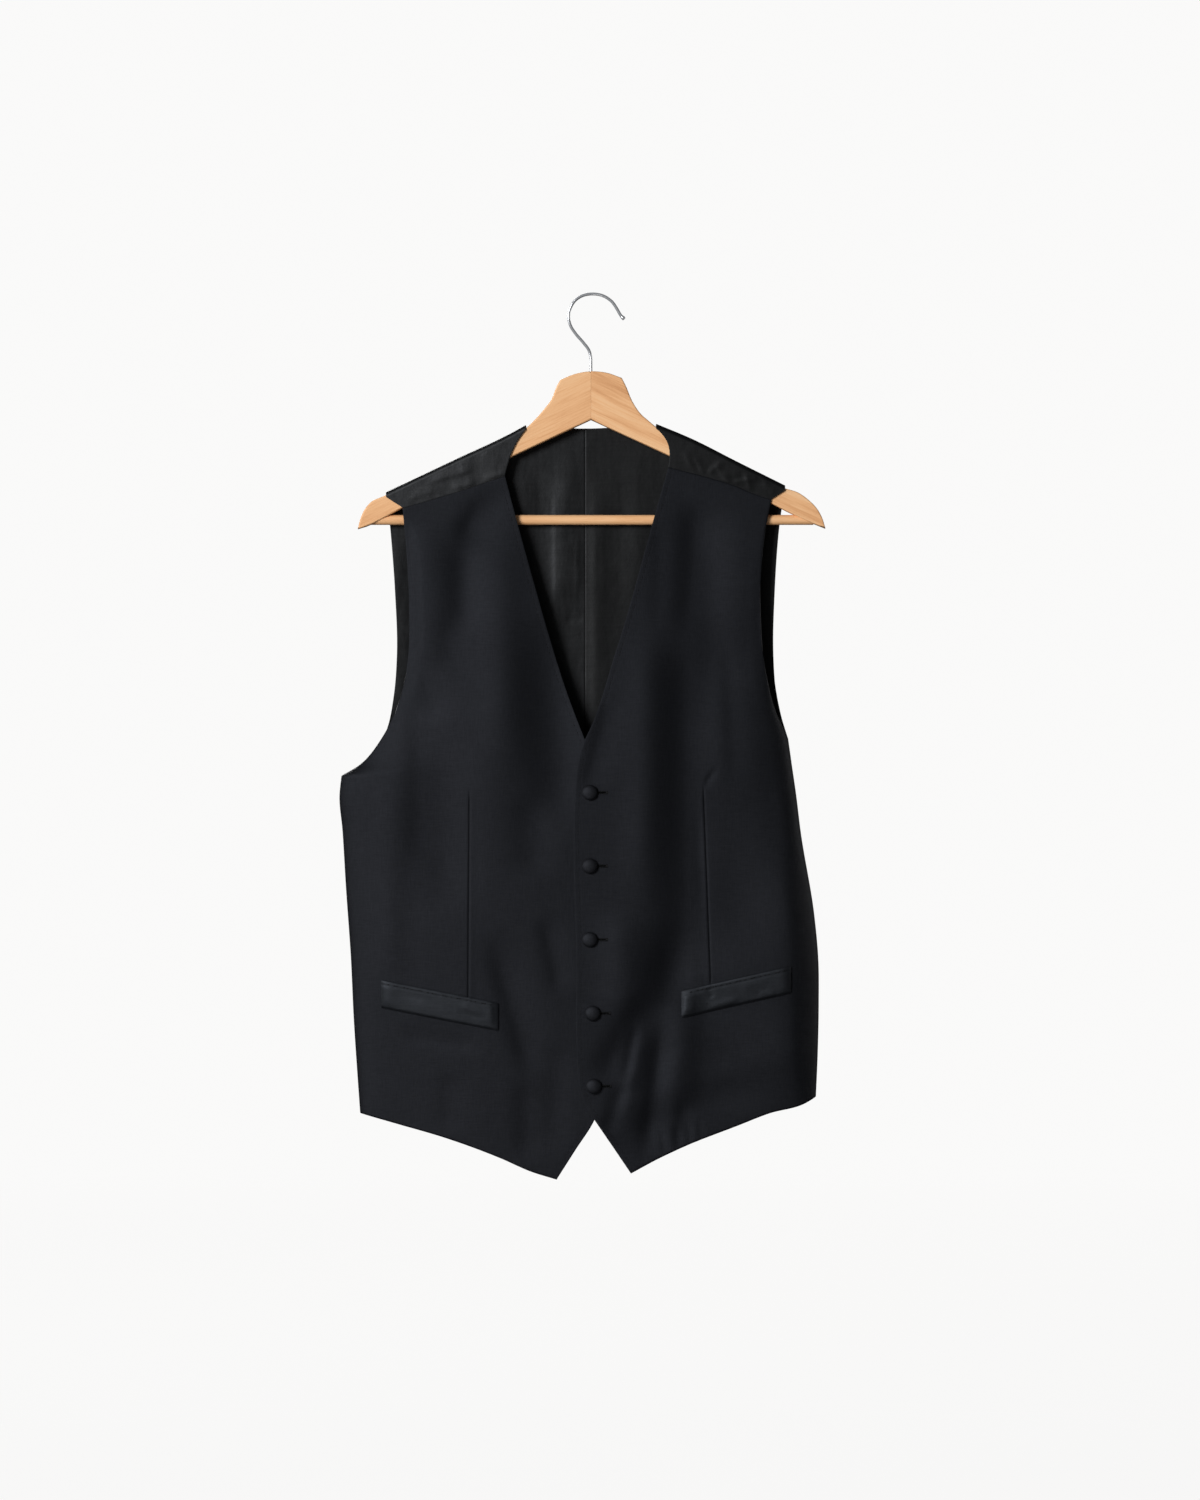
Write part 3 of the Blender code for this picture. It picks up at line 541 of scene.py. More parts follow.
def crease_depth(creases, x, drop):
    """How far all the creases push the cloth in.

    Each follows a bowed line, with a width of its own to either side, and dies out at both ends.
    """
    together = np.zeros_like(x)
    for x0, drop0, x1, drop1, one_side, other_side, depth, bow in creases:
        run_x, run_drop = x1 - x0, drop1 - drop0
        length = hypot(run_x, run_drop)
        t = np.clip(((x - x0) * run_x + (drop - drop0) * run_drop) / length**2, 0, 1)
        ending = np.clip(np.minimum(t, 1 - t) / CREASE_ENDS, 0, 1)
        away = ((x - x0) * run_drop - (drop - drop0) * run_x) / length - bow * 4 * t * (1 - t)
        width = np.where(away < 0, one_side, other_side)
        together += depth * ending**2 * (3 - 2 * ending) * np.exp(-((away / width) ** 2))
    return together


def rolled(roll, away):
    """How far in the cloth lies at this distance from the middle of a seam, an edge or a line of stitches."""
    return roll.deep * np.exp(-((away / roll.wide) ** 2))


def on_panel(panel, creases, s, v):
    """Points of a panel's middle at s, 0 at the outer edge to 1 at the inner, and v, 0 at the top."""
    outer, inner = outer_at(panel, v), curve_at(panel.inner, v)
    top, bottom = curve_at(panel.top, s), curve_at(panel.bottom, s)
    top_bow = top[:, 1] - (1 - s) * panel.top[0].drop - s * panel.top[-1].drop
    bottom_bow = bottom[:, 1] - (1 - s) * panel.bottom[0].drop - s * panel.bottom[-1].drop
    x = (1 - s) * outer[:, 0] + s * inner[:, 0]
    drop = (1 - s) * outer[:, 1] + s * inner[:, 1] + (1 - v) * top_bow + v * bottom_bow
    levels = np.array(panel.sections)
    turn = np.interp(outer[:, 1], levels[:, 0], levels[:, 1])
    bulge = np.interp(outer[:, 1], levels[:, 0], levels[:, 2])
    turn_share = np.interp(v, (UNDERARM - TURN_CHANGES, UNDERARM), panel.turn_shares)
    turned = (1 - (1 - np.clip(s / turn_share, 0, 1)) ** panel.round) ** (1 / panel.round)
    fullness = 27 / 4 * s * (1 - s) ** 2
    y = outer[:, 2] + (turn - outer[:, 2]) * turned + (inner[:, 2] - turn) * s * (2 - s) - bulge * fullness
    ease = np.clip(np.minimum(v / FOLDS_BELOW, s / FOLDS_INSIDE), 0, 1)
    y += ease**2 * (3 - 2 * ease) * crease_depth(creases, x, drop)
    return np.stack([x, y, drop], axis=1)


def cloth(name, grid, thickness, material):
    """A panel from a grid of (x, y, drop) rows, where nan leaves a place out. Its cut edges are rounded."""
    grid = np.asarray(grid, float)
    kept = ~np.isnan(grid[..., 0])
    number = np.cumsum(kept.ravel()).reshape(kept.shape) - 1
    faces = []
    for r in range(grid.shape[0] - 1):
        whole = kept[r, :-1] & kept[r, 1:] & kept[r + 1, :-1] & kept[r + 1, 1:]
        for c in np.flatnonzero(whole):
            faces.append((number[r, c], number[r + 1, c], number[r + 1, c + 1], number[r, c + 1]))
    made = new_piece(name, in_metres(grid[kept]), faces, material)
    wall = made.modifiers.new("wall", "SOLIDIFY")
    wall.thickness = thickness * MM
    wall.offset = 0
    wall.use_even_offset = True
    wall.use_quality_normals = True
    rim = made.modifiers.new("rounded_rim", "BEVEL")
    rim.width = thickness * RIM_SHARE * MM
    rim.segments = 2
    rim.limit_method = "ANGLE"
    rim.angle_limit = radians(55)
    return made


def side_seam(side, y):
    """The edge of a panel along its side seam, this far to the back."""
    return [Edge(*place, y) for place in side]


def back_panel(fold, armhole, side):
    """The panel of one half of the back, from below the fold over the arm to the hem."""
    centre = BACK_CENTRE_X + (CENTRE_GAP / 2 if fold[0].x > 0 else -CENTRE_GAP / 2)
    below = WRAP_RADIUS + WALL / 2
    top = (*(Place(row.x, row.drop + below) for row in fold), Place(centre, BACK_NECK_DROP))
    foot = side[-1]
    middle = Place((foot.x + centre) / 2, (foot.drop + BACK_HEM_DROP) / 2 - HEM_HOLLOW)
    bottom = (foot, middle, Place(centre, BACK_HEM_DROP))
    inner = (
        Edge(centre, BACK_NECK_DROP, ARM_Y),
        Edge(centre, 300.0, BACK_DEPTH),
        Edge(centre, BACK_HEM_DROP, BACK_DEPTH),
    )
    outer = (armhole, side_seam(side, SIDE_EDGE))
    return Panel(top, bottom, outer, inner, BACK_SECTIONS, BACK_TURN, BACK_ROUND)


def over_arm(crease, end, bow):
    """One column over the wood: round its back edge, across, round its front edge and down to the seam."""
    turn_y = ARM_Y - WRAP_RADIUS
    top = crease[1] + WALL / 2
    path = []
    for k in range(1, WRAP_STEPS + 1):
        angle = k * pi / 2 / WRAP_STEPS
        path.append((turn_y + WRAP_RADIUS * cos(angle), top + WRAP_RADIUS * (1 - sin(angle))))
    path += [(-y, drop) for y, drop in reversed(path)]
    straight = top + WRAP_RADIUS
    foot = end[1] - SHOULDER_GAP
    path += [(-ARM_Y, drop) for drop in np.linspace(straight, foot, FLAP_ROWS + 1)]
    path += [(-ARM_Y + SEAM_DIP, foot + 0.1)]
    y, drop = np.array(path).T
    share = np.where(y < 0, np.clip((drop - straight) / (foot - straight), 0, 1), 0)
    x = crease[0] + (end[0] - crease[0]) * share + bow * np.sin(pi * share**0.8)
    flat = np.clip(np.minimum(share / 0.12, (1 - share) / 0.05), 0, 1)
    return np.stack([x, y + crease_depth(STRAP_CREASES, x, drop) * flat, drop], axis=1)


def half_back(name, fold, seam, bow, armhole, side, material):
    """A half of the back. Its shoulder columns run on over the wood and down to the front's seam."""
    panel = back_panel(fold, armhole, side)
    steps = [hypot(b.x - a.x, b.drop - a.drop) for a, b in zip(panel.top, panel.top[1:])]
    top_length = np.cumsum(steps)
    at_neck = top_length[-2] / top_length[-1]
    turn = BACK_TURN[1] * (1 - np.cos(np.linspace(0, pi / 2, TURN_COLUMNS)))
    shoulder = np.linspace(BACK_TURN[1], at_neck, SHOULDER_COLUMNS)[1:]
    near_centre = np.array(NEAR_CENTRE) / top_length[-1]
    neck = np.linspace(at_neck, 1 - near_centre[0], NECK_COLUMNS)[1:-1]
    s = np.concatenate([turn, shoulder, neck, 1 - near_centre])
    flat = []
    for v in np.linspace(0, 1, BACK_ROWS + 1):
        row = on_panel(panel, BACK_CREASES, s, np.full(len(s), v))
        row[:, 1] += rolled(CENTRE_SEAM, abs(row[:, 0] - row[-1, 0]))
        flat.append(row)
    wrapped = np.full((2 * WRAP_STEPS + 2 + FLAP_ROWS, len(s), 3), np.nan)
    for column, share in enumerate(s):
        if share <= at_neck + 1e-9:
            t = np.array([share / at_neck])
            wrapped[:, column] = over_arm(curve_at(fold, t)[0], curve_at(seam, t)[0], bow * t[0])
    return cloth(name, np.concatenate([wrapped[::-1], flat]), SATIN_THICK, material)


def satin(name, colour, gloss, shine, tint, outside=1.0):
    """Satin: long floats that shine in streaks, with a slub here and there.

    Nearly all its light is shine, which changes by the factor outside where it comes over the shoulder:
    painted sheen, which makes one strap lighter than the other.
    """
    made, shader = finish(name, colour, Specular_Tint=(*tint, 1))
    streaks = noise(made, (140, 140, 22), detail=3.0)
    slubs = noise(made, (60, 60, 900), detail=3.0)
    rumpled = noise(made, (75, 75, 60), detail=4.0, roughness=0.65)
    threads = noise(made, (2600, 2600, 900), detail=1.0)
    uneven = total(made, streaks, slubs, rumpled)
    place = add_node(made, "TexCoord").outputs["Object"]
    depth = add_node(made, "SeparateXYZ", {"Vector": place}).outputs["Y"]
    # Painted sheen: in front of the wood, where the strap comes over the shoulder, the shine is scaled by
    # outside.
    over = between(made, depth, -0.004, 0.0, outside, 1.0)
    floats = between(made, uneven, 1.15, 1.85, shine * 0.84, shine * 1.16)
    join(made, product(made, floats, over), shader, "Specular IOR Level")
    join(made, between(made, streaks, 0.3, 0.7, gloss - 0.05, gloss + 0.07), shader, "Roughness")
    height = total(made, product(made, slubs, 0.35), product(made, rumpled, 2.6), product(made, threads, 0.3))
    raised(made, shader, height, 0.12)
    return made


# The back's halves are one satin in two copies, a lit one and a shaded one: the right, on the window's side,
# has more shine and 1.55 times it over the shoulder; the left has less and 0.92 times. This is painted sheen
# and painted shade.
satin_right_painted_lit = satin("black_satin_right_painted_lit", (0.0025, 0.0026, 0.0027), 0.46, 0.24, (0.94, 0.96, 1.0), 1.55)
satin_left_painted_shaded = satin("black_satin_left_painted_shaded", (0.0025, 0.0026, 0.0027), 0.50, 0.20, (0.97, 0.98, 1.0), 0.92)
back_right = half_back(
    "satin_back_right",
    RIGHT_FOLD,
    RIGHT_SHOULDER,
    RIGHT_NECK_BOW,
    BACK_RIGHT_ARMHOLE,
    RIGHT_SIDE,
    satin_right_painted_lit,
)
back_left = half_back(
    "satin_back_left",
    LEFT_FOLD,
    LEFT_SHOULDER,
    LEFT_NECK_BOW,
    BACK_LEFT_ARMHOLE,
    LEFT_SIDE,
    satin_left_painted_shaded,
)
for piece, node_name, arm_below, cut_area in (
    (back_right, "back_right", right_arm, 0.136),
    (back_left, "back_left", left_arm, 0.131),
):
    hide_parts(node_name)


# --------------------------------------------------------------------
# The two fronts are charcoal wool over canvas, each with a dart below the chest and with its edges turned in
# and pressed. The left one laps over the right one. Rows lie close together at darts and edges to hold that.
WOOL_THICK = 1.5
LAP = 2.9
RIGHT_TURN, LEFT_TURN = (0.22, 0.14), (0.04, 0.10)
FRONT_ROUND = 3
FRONT_ROWS, SIDE_COLUMNS, FRONT_COLUMNS = 225, 30, 42
# Rows and columns that lie close together, by their distance from an edge, a dart or a hem
NEAR_TOP = (0.0, 0.2, 0.5, 0.9, 1.5, 2.4)
NEAR_HEM = (4.5, 3.2, 2.2, 1.4, 0.8, 0.4, 0.15, 0.0)
NEAR_SIDE = (0.0, 0.2, 0.5, 1.0, 1.7, 2.6, 3.6, 4.8, 6.2)
NEAR_DART = (-4.5, -2.8, -1.7, -1.0, -0.5, 0.0, 0.5, 1.0, 1.7, 2.8, 4.5)
NEAR_EDGE = (9.5, 7.6, 6.4, 5.7, 5.0, 4.3, 3.6, 2.6, 1.7, 1.0, 0.5, 0.2, 0.0)
PICK_IN = 4.4
PICK_DIP = Roll(0.04, 1.2)
SHOULDER_SEAM = Roll(SEAM_DIP, 0.9)
FRONT_EDGE, FRONT_HEM, ARMHOLE_EDGE = Roll(0.10, 0.5), Roll(0.6, 1.0), Roll(0.15, 0.5)
DART_SEAM, DART_SWELL, DART_SWELL_AWAY = Roll(0.8, 0.75), Roll(-0.2, 2.0), 2.2
DART_STARTS, DART_STOPS = 12, 4
RIGHT_HEM = (
    Place(-219.4, 779.3),
    Place(-180.2, 789.9),
    Place(-138.3, 801.6),
    Place(-84.9, 821.2),
    Place(-57.2, 833.8),
    Place(-32.7, 841.4),
)
RIGHT_ARMHOLE = (
    Edge(-179.3, 203, -ARM_Y),
    Edge(-175.7, 241.4, -9.5),
    Edge(-173, 300, -12.5),
    Edge(-174.3, 350, -14.5),
    Edge(-181.8, 385.8, -14.5),
    Edge(-197.6, 421, -11.5),
    Edge(-218.5, 447, -6),
    Edge(-237.3, 458.5, -SIDE_EDGE),
)
RIGHT_EDGE = (
    Edge(-82, 172.4, -ARM_Y),
    Edge(-72.5, 208.4, -10.5),
    Edge(-52.6, 280.9, -17.5),
    Edge(-39.5, 326.6, -21.5),
    Edge(-21.9, 381.5, -25.5),
    Edge(-5.5, 424.2, -27.5),
    Edge(6, 452, -28),
    Edge(12.5, 484, -28),
    Edge(15.5, 530, -28),
    Edge(15.5, 700, -26.5),
    Edge(13.5, 750, -25),
    Edge(3.4, 784.4, -24),
    Edge(-14.6, 813, -23),
    Edge(-32.7, 841.4, -22),
)
LEFT_HEM = (
    Place(214.6, 763.4),
    Place(205.5, 769),
    Place(169.1, 778.7),
    Place(138.3, 790.4),
    Place(93.5, 807.3),
    Place(62, 822),
    Place(38, 835.6),
)
LEFT_ARMHOLE = (
    Edge(171.7, 195, -ARM_Y),
    Edge(165.8, 223.6, -9.5),
    Edge(161, 280.9, -13.5),
    Edge(161.4, 315.8, -16),
    Edge(163.6, 344.3, -17),
    Edge(167.9, 370.5, -16),
    Edge(174.2, 394, -11.5),
    Edge(187.3, 422.5, -SIDE_EDGE),
)
LEFT_EDGE = (
    Edge(73.8, 164, -ARM_Y),
    Edge(60.7, 210.3, -10.5),
    Edge(44.3, 269.8, -16.5),
    Edge(33.3, 309.2, -20.5),
    Edge(22.3, 344.3, -24),
    Edge(2.7, 405.6, -27.2 - LAP),
    Edge(-8, 430, -27.6 - LAP),
    Edge(-13, 450.6, -28.0 - LAP),
    Edge(-15, 475, -28.0 - LAP),
    Edge(-13.7, 637, -27.5 - LAP),
    Edge(-13.4, 718, -26.0 - LAP),
    Edge(-11, 752, -25.0 - LAP),
    Edge(-4.5, 772, -24.3 - LAP),
    Edge(3.4, 784.4, -24.0 - LAP),
    Edge(20.7, 810, -23),
    Edge(38, 835.6, -22),
)
RIGHT_SECTIONS = (
    Section(203, -ARM_Y, 0),
    Section(250, -10, 1),
    Section(350, -14.5, 3),
    Section(420, -13, 4),
    Section(458.5, -10.5, 4.5),
    Section(600, -10, 4),
    Section(700, -10, 3),
    Section(779.3, -9, 1),
)
LEFT_SECTIONS = (
    Section(195, -ARM_Y, 0),
    Section(250, -11.5, 1),
    Section(344, -17, 2),
    Section(394, -18, 3),
    Section(422.5, -18, 4),
    Section(520, -18, 4.5),
    Section(640, -17, 4),
    Section(763.4, -15, 1.5),
)
# Creases that go through both fronts where they lap
LAP_CREASES = (
    (60, 660, 5, 755, 14, 18, 3.5, 0),
    (20, 380, -5, 480, 8, 16, 1.5, 0),
    (32, 745, 14, 802, 8, 9, 1.8, 0),
)
RIGHT_CREASES = (
    (-92, 165, -124, 245, 12, 22, 3, 0),
    (-120, 225, -122, 330, 16, 16, 3, 0),
    (-128, 300, -140, 370, 14, 20, 1.5, 0),
    (-38, 290, -26, 530, 30, 30, 6, 0),
    (-60, 470, -52, 560, 18, 18, 2, 0),
    (-163, 360, -160, 570, 14, 24, 2.4, 0),
    (-168, 330, -143, 410, 10, 14, 1.5, 0),
    (-95, 600, -50, 760, 12, 18, 3, 0),
    (-45, 585, -28, 670, 8, 14, 1.6, 0),
    (-190, 703, -100, 718, 7, 14, 1.2, 0),
    (-135, 735, -135, 800, 10, 14, 1, 0),
    (-62, 740, -60, 830, 12, 14, 1.8, 0),
    (-84, 190, -82, 480, 24, 24, -3, 0),
    (-190, 430, -195, 700, 16, 16, -2, 0),
    (-30, 700, -40, 830, 14, 14, 1.5, 0),
    (-136, 400, -136, 600, 20, 26, 3, 0),
    (-155, 190, -165, 400, 18, 28, -3, 0),
    *LAP_CREASES,
)
LEFT_CREASES = (
    (104, 185, 92, 340, 18, 28, 5, 0),
    (92, 300, 92, 550, 26, 36, 7.5, 0),
    (94, 470, 90, 710, 26, 42, 7.5, 0),
    (80, 590, 52, 770, 18, 18, 4.5, 0),
    (72, 680, 50, 830, 10, 14, 3.5, 0),
    (44, 690, 32, 750, 6, 8, 1.5, 0),
    (131, 325, 138, 480, 10, 16, 1.4, 0),
    (55, 300, 46, 600, 18, 18, -2.2, 4),
    (120, 220, 116, 420, 18, 24, 2, 0),
    (114, 640, 106, 800, 26, 46, 5.5, 0),
    (196, 500, 192, 800, 32, 26, -5, 0),
    (28, 580, 30, 700, 18, 18, -2.5, 0),
    (90, 760, 82, 815, 7, 10, 1.2, 0),
    (138, 430, 144, 650, 26, 34, 3, 0),
    (68, 200, 64, 330, 10, 14, 1, 0),
    (102, 480, 106, 600, 7, 5, 0.6, 0),
    (118.7, 450, 106.7, 467.3, 2, 3, 0.9, 0.5),
    (50, 686, 28, 792, 4, 6, -0.9, 1),
    (66, 790, 70, 820, 3, 4, 0.5, 0.3),
    (80, 788, 83, 816, 3, 4, 0.4, 0.3),
    (91, 784, 94, 812, 3, 4.2, 0.5, 0.3),
    (102, 782, 105, 806, 3, 4, 0.35, 0.3),
    *LAP_CREASES,
)
RIGHT_DART = (Place(-115.2, 469.7), Place(-116.4, 668.7))
LEFT_DART = (Place(106.7, 467.3), Place(113.7, 653.4))


def front(name, panel, dart, creases, material):
    """A front, with columns through its dart and close to its edges."""
    height = panel.bottom[-1].drop - panel.top[-1].drop
    near_hem = 1 - np.array(NEAR_HEM) / height
    near_top = np.array(NEAR_TOP) / height
    rows = np.concatenate([near_top, np.linspace(near_top[-1], near_hem[0], FRONT_ROWS)[1:-1], near_hem])
    grid = []
    for v in rows:
        outer, inner = outer_at(panel, np.array([v]))[0], curve_at(panel.inner, np.array([v]))[0]
        width = abs(inner[0] - outer[0])
        drop_here = (outer[1] + inner[1]) / 2
        down = np.clip((drop_here - dart[0].drop) / (dart[1].drop - dart[0].drop), 0, 1)
        at_dart = (dart[0].x + down * (dart[1].x - dart[0].x) - outer[0]) / (inner[0] - outer[0])
        side = np.array(NEAR_SIDE) / width
        by_dart = at_dart + np.array(NEAR_DART) / width
        edge = 1 - np.array(NEAR_EDGE) / width
        outside = np.linspace(side[-1], by_dart[0], SIDE_COLUMNS)[1:-1]
        inside = np.linspace(by_dart[-1], edge[0], FRONT_COLUMNS)[1:-1]
        s = np.concatenate([side, outside, by_dart, inside, edge])
        row = on_panel(panel, creases, s, np.full(len(s), v))
        row[:, 1] += rolled(SHOULDER_SEAM, v * height)
        from_side, from_edge, from_dart = s * width, (1 - s) * width, (s - at_dart) * width
        below_start, above_foot = row[:, 2] - dart[0].drop, dart[1].drop + DART_STOPS - row[:, 2]
        sewn = np.clip(below_start / DART_STARTS, 0, 1) * np.clip(above_foot / DART_STOPS, 0, 1)
        row[:, 1] += sewn * (rolled(DART_SEAM, from_dart) + rolled(DART_SWELL, from_dart - DART_SWELL_AWAY))
        row[:, 1] += rolled(FRONT_EDGE, from_edge) + rolled(PICK_DIP, from_edge - PICK_IN)
        row[:, 1] += rolled(FRONT_HEM, (1 - v) * height)
        if v < UNDERARM:
            row[:, 1] += rolled(ARMHOLE_EDGE, from_side)
        grid.append(row)
    return cloth(name, grid, WOOL_THICK, material)


def middle_of(piece):
    """The middle surface of a cloth piece, on which what is sewn to it is placed."""
    mesh = piece.data
    return BVHTree.FromPolygons([v.co for v in mesh.vertices], [face.vertices for face in mesh.polygons])


def wool(name, colour, shine):
    """Fine worsted: a close plain weave with slubs both ways, and the soft shine of pressed cloth."""
    made, shader = finish(name, colour, Roughness=0.62, Specular_Tint=(0.82, 0.855, 1.0, 1))
    weft = noise(made, (110, 110, 1300), detail=3.0)
    warp = noise(made, (1300, 1300, 90), detail=3.0)
    clouds = noise(made, (12, 12, 9), detail=3.0)
    weave_in = {"Scale": 520.0, "Distortion": 0.6, "Detail": 1.0, "Detail Scale": 1.5}
    place = stretched(made, (1, 1, 1))
    across = add_node(made, "TexWave", {**weave_in, "Vector": place}, bands_direction="X").outputs["Fac"]
    down = add_node(made, "TexWave", {**weave_in, "Vector": place}, bands_direction="Z").outputs["Fac"]
    mixed = total(made, weft, warp, product(made, clouds, 0.5))
    join(made, between(made, mixed, 0.9, 1.6, shine * 0.80, shine * 1.20), shader, "Specular IOR Level")
    weave = total(made, product(made, across, 0.25), product(made, down, 0.25))
    raised(made, shader, total(made, weave, product(made, weft, 0.5), warp), 0.10)
    return made


charcoal = wool("charcoal_wool", (0.0023, 0.0025, 0.0030), 0.208)
right_panel = Panel(
    RIGHT_SHOULDER,
    RIGHT_HEM,
    (RIGHT_ARMHOLE, side_seam(RIGHT_SIDE, -SIDE_EDGE)),
    RIGHT_EDGE,
    RIGHT_SECTIONS,
    RIGHT_TURN,
    FRONT_ROUND,
)
left_panel = Panel(
    LEFT_SHOULDER,
    LEFT_HEM,
    (LEFT_ARMHOLE, side_seam(LEFT_SIDE, -SIDE_EDGE)),
    LEFT_EDGE,
    LEFT_SECTIONS,
    LEFT_TURN,
    FRONT_ROUND,
)
front_right = front("wool_front_right", right_panel, RIGHT_DART, RIGHT_CREASES, charcoal)
front_left = front("wool_front_left", left_panel, LEFT_DART, LEFT_CREASES, charcoal)
right_middle, left_middle = middle_of(front_right), middle_of(front_left)
for piece, node_name in ((front_right, "front_right"), (front_left, "front_left")):
    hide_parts(node_name)


# --------------------------------------------------------------------
# The welts finish the two waist pockets: folded satin, caught down at the foot and both ends, with the top
# left free and picked by hand in a coarse line.
WELT_THICK = 1.3
WELT_OFF = 0.25
WELT_STANDS = 0.75
WELT_SWELL = 0.9
WELT_COLUMNS, WELT_ROWS = 100, 30
WELT_TOP_ROWS = (0.0, 0.3, 0.8, 1.5, 2.4)
WELT_END_ROWS = (1.0, 0.4, 0.0)
WELT_FOOT_ROWS = (0.8, 0.3, 0.0)
WELT_TOP, WELT_PICK_DIP, WELT_PICK_IN = Roll(0.5, 0.8), Roll(0.16, 1.0), 4.0
WELT_FOOT, WELT_ENDS = Roll(0.95, 1.3), Roll(0.5, 1.1)
WELT_PICK_STEP, WELT_PICK_LONG, WELT_THREAD_THICK = 4.7, 2.4, 0.8
Welt = namedtuple("Welt", "outer inner height")
RIGHT_WELT = Welt(Place(-199.2, 652.3), Place(-88.0, 673.6), 26.2)
LEFT_WELT = Welt(Place(189.6, 638.6), Place(86.0, 662.4), 25.2)
# Puckers in the welt's own measure: along from its outer end, and down from its top
RIGHT_PUCKERS = (
    (4, 1, 4, 26, 3, 9, -0.6, 0),
    (74, 9, 101, 13, 2.4, 3.2, -0.35, 0),
    (70, 15, 98, 18, 2, 2.8, 0.35, 0),
    (14, 9, 62, 12, 4, 5, 0.3, 1),
    (104, 2, 105, 25, 6, 3, -0.4, 0),
)
LEFT_PUCKERS = (
    (99, 1, 99, 25, 12, 3.2, -1.1, 0),
    (80, 21, 46, 20, 4, 2.5, -0.6, 0),
    (78, 1, 73, 14, 3, 4, 0.5, 0.5),
    (50, 7, 20, 9, 4, 5, -0.3, 1),
    (32, 19, 12, 22, 2.5, 3.5, -0.35, 0),
    (3, 1, 3, 24, 3, 7, -0.4, 0),
)


def moved_out(surface, x, drop, distance):
    """The surface's point at this x and drop, moved out of its front, in millimetres, and its normal."""
    place, normal, *_ = surface.ray_cast(Vector((x * MM, -1, -drop * MM)), Vector((0, 1, 0)))
    out = -normal if normal.y > 0 else normal
    return np.array((x, place.y / MM + distance / out.y, drop)), out


def welt(name, surface, shape, puckers, material):
    """A welt, close on the front's own surface. Its middle swells and its top edge rolls over."""
    length = abs(shape.inner.x - shape.outer.x)
    ends = np.array(WELT_END_ROWS)
    below = np.linspace(3.4, shape.height - 1.5, WELT_ROWS)
    down = np.concatenate([WELT_TOP_ROWS, below, shape.height - np.array(WELT_FOOT_ROWS)])
    across = np.concatenate([ends[::-1], np.linspace(2.0, length - 2.0, WELT_COLUMNS), length - ends])
    grid = []
    for d in down:
        row = []
        for a in across:
            t = a / length
            x = shape.outer.x + t * (shape.inner.x - shape.outer.x)
            drop = shape.outer.drop + t * (shape.inner.drop - shape.outer.drop) + d
            to_end = min(a, length - a)
            swell = WELT_SWELL * (1 - np.exp(-((to_end / 5) ** 2))) * (1 - 0.6 * (d / shape.height) ** 4)
            pucker = crease_depth(puckers, np.array([a]), np.array([d]))[0]
            roll = rolled(WELT_TOP, d) + rolled(WELT_PICK_DIP, d - WELT_PICK_IN)
            foot = rolled(WELT_FOOT, shape.height - d) + rolled(WELT_ENDS, to_end)
            seat = WOOL_THICK / 2 + WELT_OFF + WELT_THICK / 2 + WELT_STANDS
            off = seat + swell - pucker - roll - foot
            row.append(moved_out(surface, x, drop, off)[0])
        grid.append(row)
    return cloth(name, grid, WELT_THICK, material)


welt_satin = satin("blue_black_satin", (0.0025, 0.0028, 0.0034), 0.54, 0.28, (0.82, 0.88, 1.0))
welt_right = welt("pocket_welt_right", right_middle, RIGHT_WELT, RIGHT_PUCKERS, welt_satin)
welt_left = welt("pocket_welt_left", left_middle, LEFT_WELT, LEFT_PUCKERS, welt_satin)
right_welt_middle, left_welt_middle = middle_of(welt_right), middle_of(welt_left)
for piece, node_name, shape, under in (
    (welt_right, "welt_right", RIGHT_WELT, front_right),
    (welt_left, "welt_left", LEFT_WELT, front_left),
):
    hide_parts(node_name)


# --------------------------------------------------------------------
# Pick stitches run by hand along the fronts' edges and the welts' tops: short bites of dull silk thread, each
# sunk a little in the cloth.
THREAD_THICK = 0.5
PICK_LONG, PICK_STEP, PICK_HIGH = 1.5, 3.4, 0.30
WELT_LINE_DROP = 2.7
SILK_COLOUR = (0.0028, 0.003, 0.0035)
silk, silk_shader = finish("black_silk_thread", SILK_COLOUR, Roughness=0.55, Specular_IOR_Level=0.2)
twist = {"Vector": stretched(silk, (1, 1, 1)), "Scale": 900.0, "Distortion": 0.4}
raised(silk, silk_shader, add_node(silk, "TexWave", twist, bands_direction="DIAGONAL").outputs["Fac"], 0.06)


def add_stitches(name, stitches, radius, sides=6):
    """One mesh of many short threads, each through its own points in millimetres."""
    corners, faces, base = [], [], 0
    for points in stitches:
        thin = radius * np.sqrt(np.clip(1.15 - np.linspace(-1, 1, len(points)) ** 2, 0.1, 1))
        more, sheets = tube(in_metres(points), thin * MM, sides)
        corners.append(more)
        faces += [tuple(base + k for k in face) for face in sheets]
        base += len(more)
    made = new_piece(name, np.concatenate(corners), faces, silk)
    return made


def stitch_on(surface, start, end, lift, top, count=5):
    """A bite of thread on the cloth from start to end, which rises to top between its ends."""
    points = []
    for t in np.linspace(0, 1, count):
        x, drop = start + t * (end - start)
        points.append(moved_out(surface, x, drop, lift + top * sin(pi * t))[0])
    return points


def picked(surface, line, lift, step=PICK_STEP, long=PICK_LONG):
    """Bites of thread along a line of (x, drop) points, spaced by its length and a little unevenly."""
    line = np.asarray(line, float)
    run = np.concatenate([[0], np.cumsum(np.linalg.norm(np.diff(line, axis=0), axis=1))])
    bites = []
    for k in range(int((run[-1] - long) / step)):
        begin = 0.5 * step + k * step + 0.25 * step * sin(k * 2.4)
        ends = [np.array([np.interp(begin + more, run, line[:, i]) for i in (0, 1)]) for more in (0, long)]
        bites.append(stitch_on(surface, *ends, lift, PICK_HIGH))
    return bites


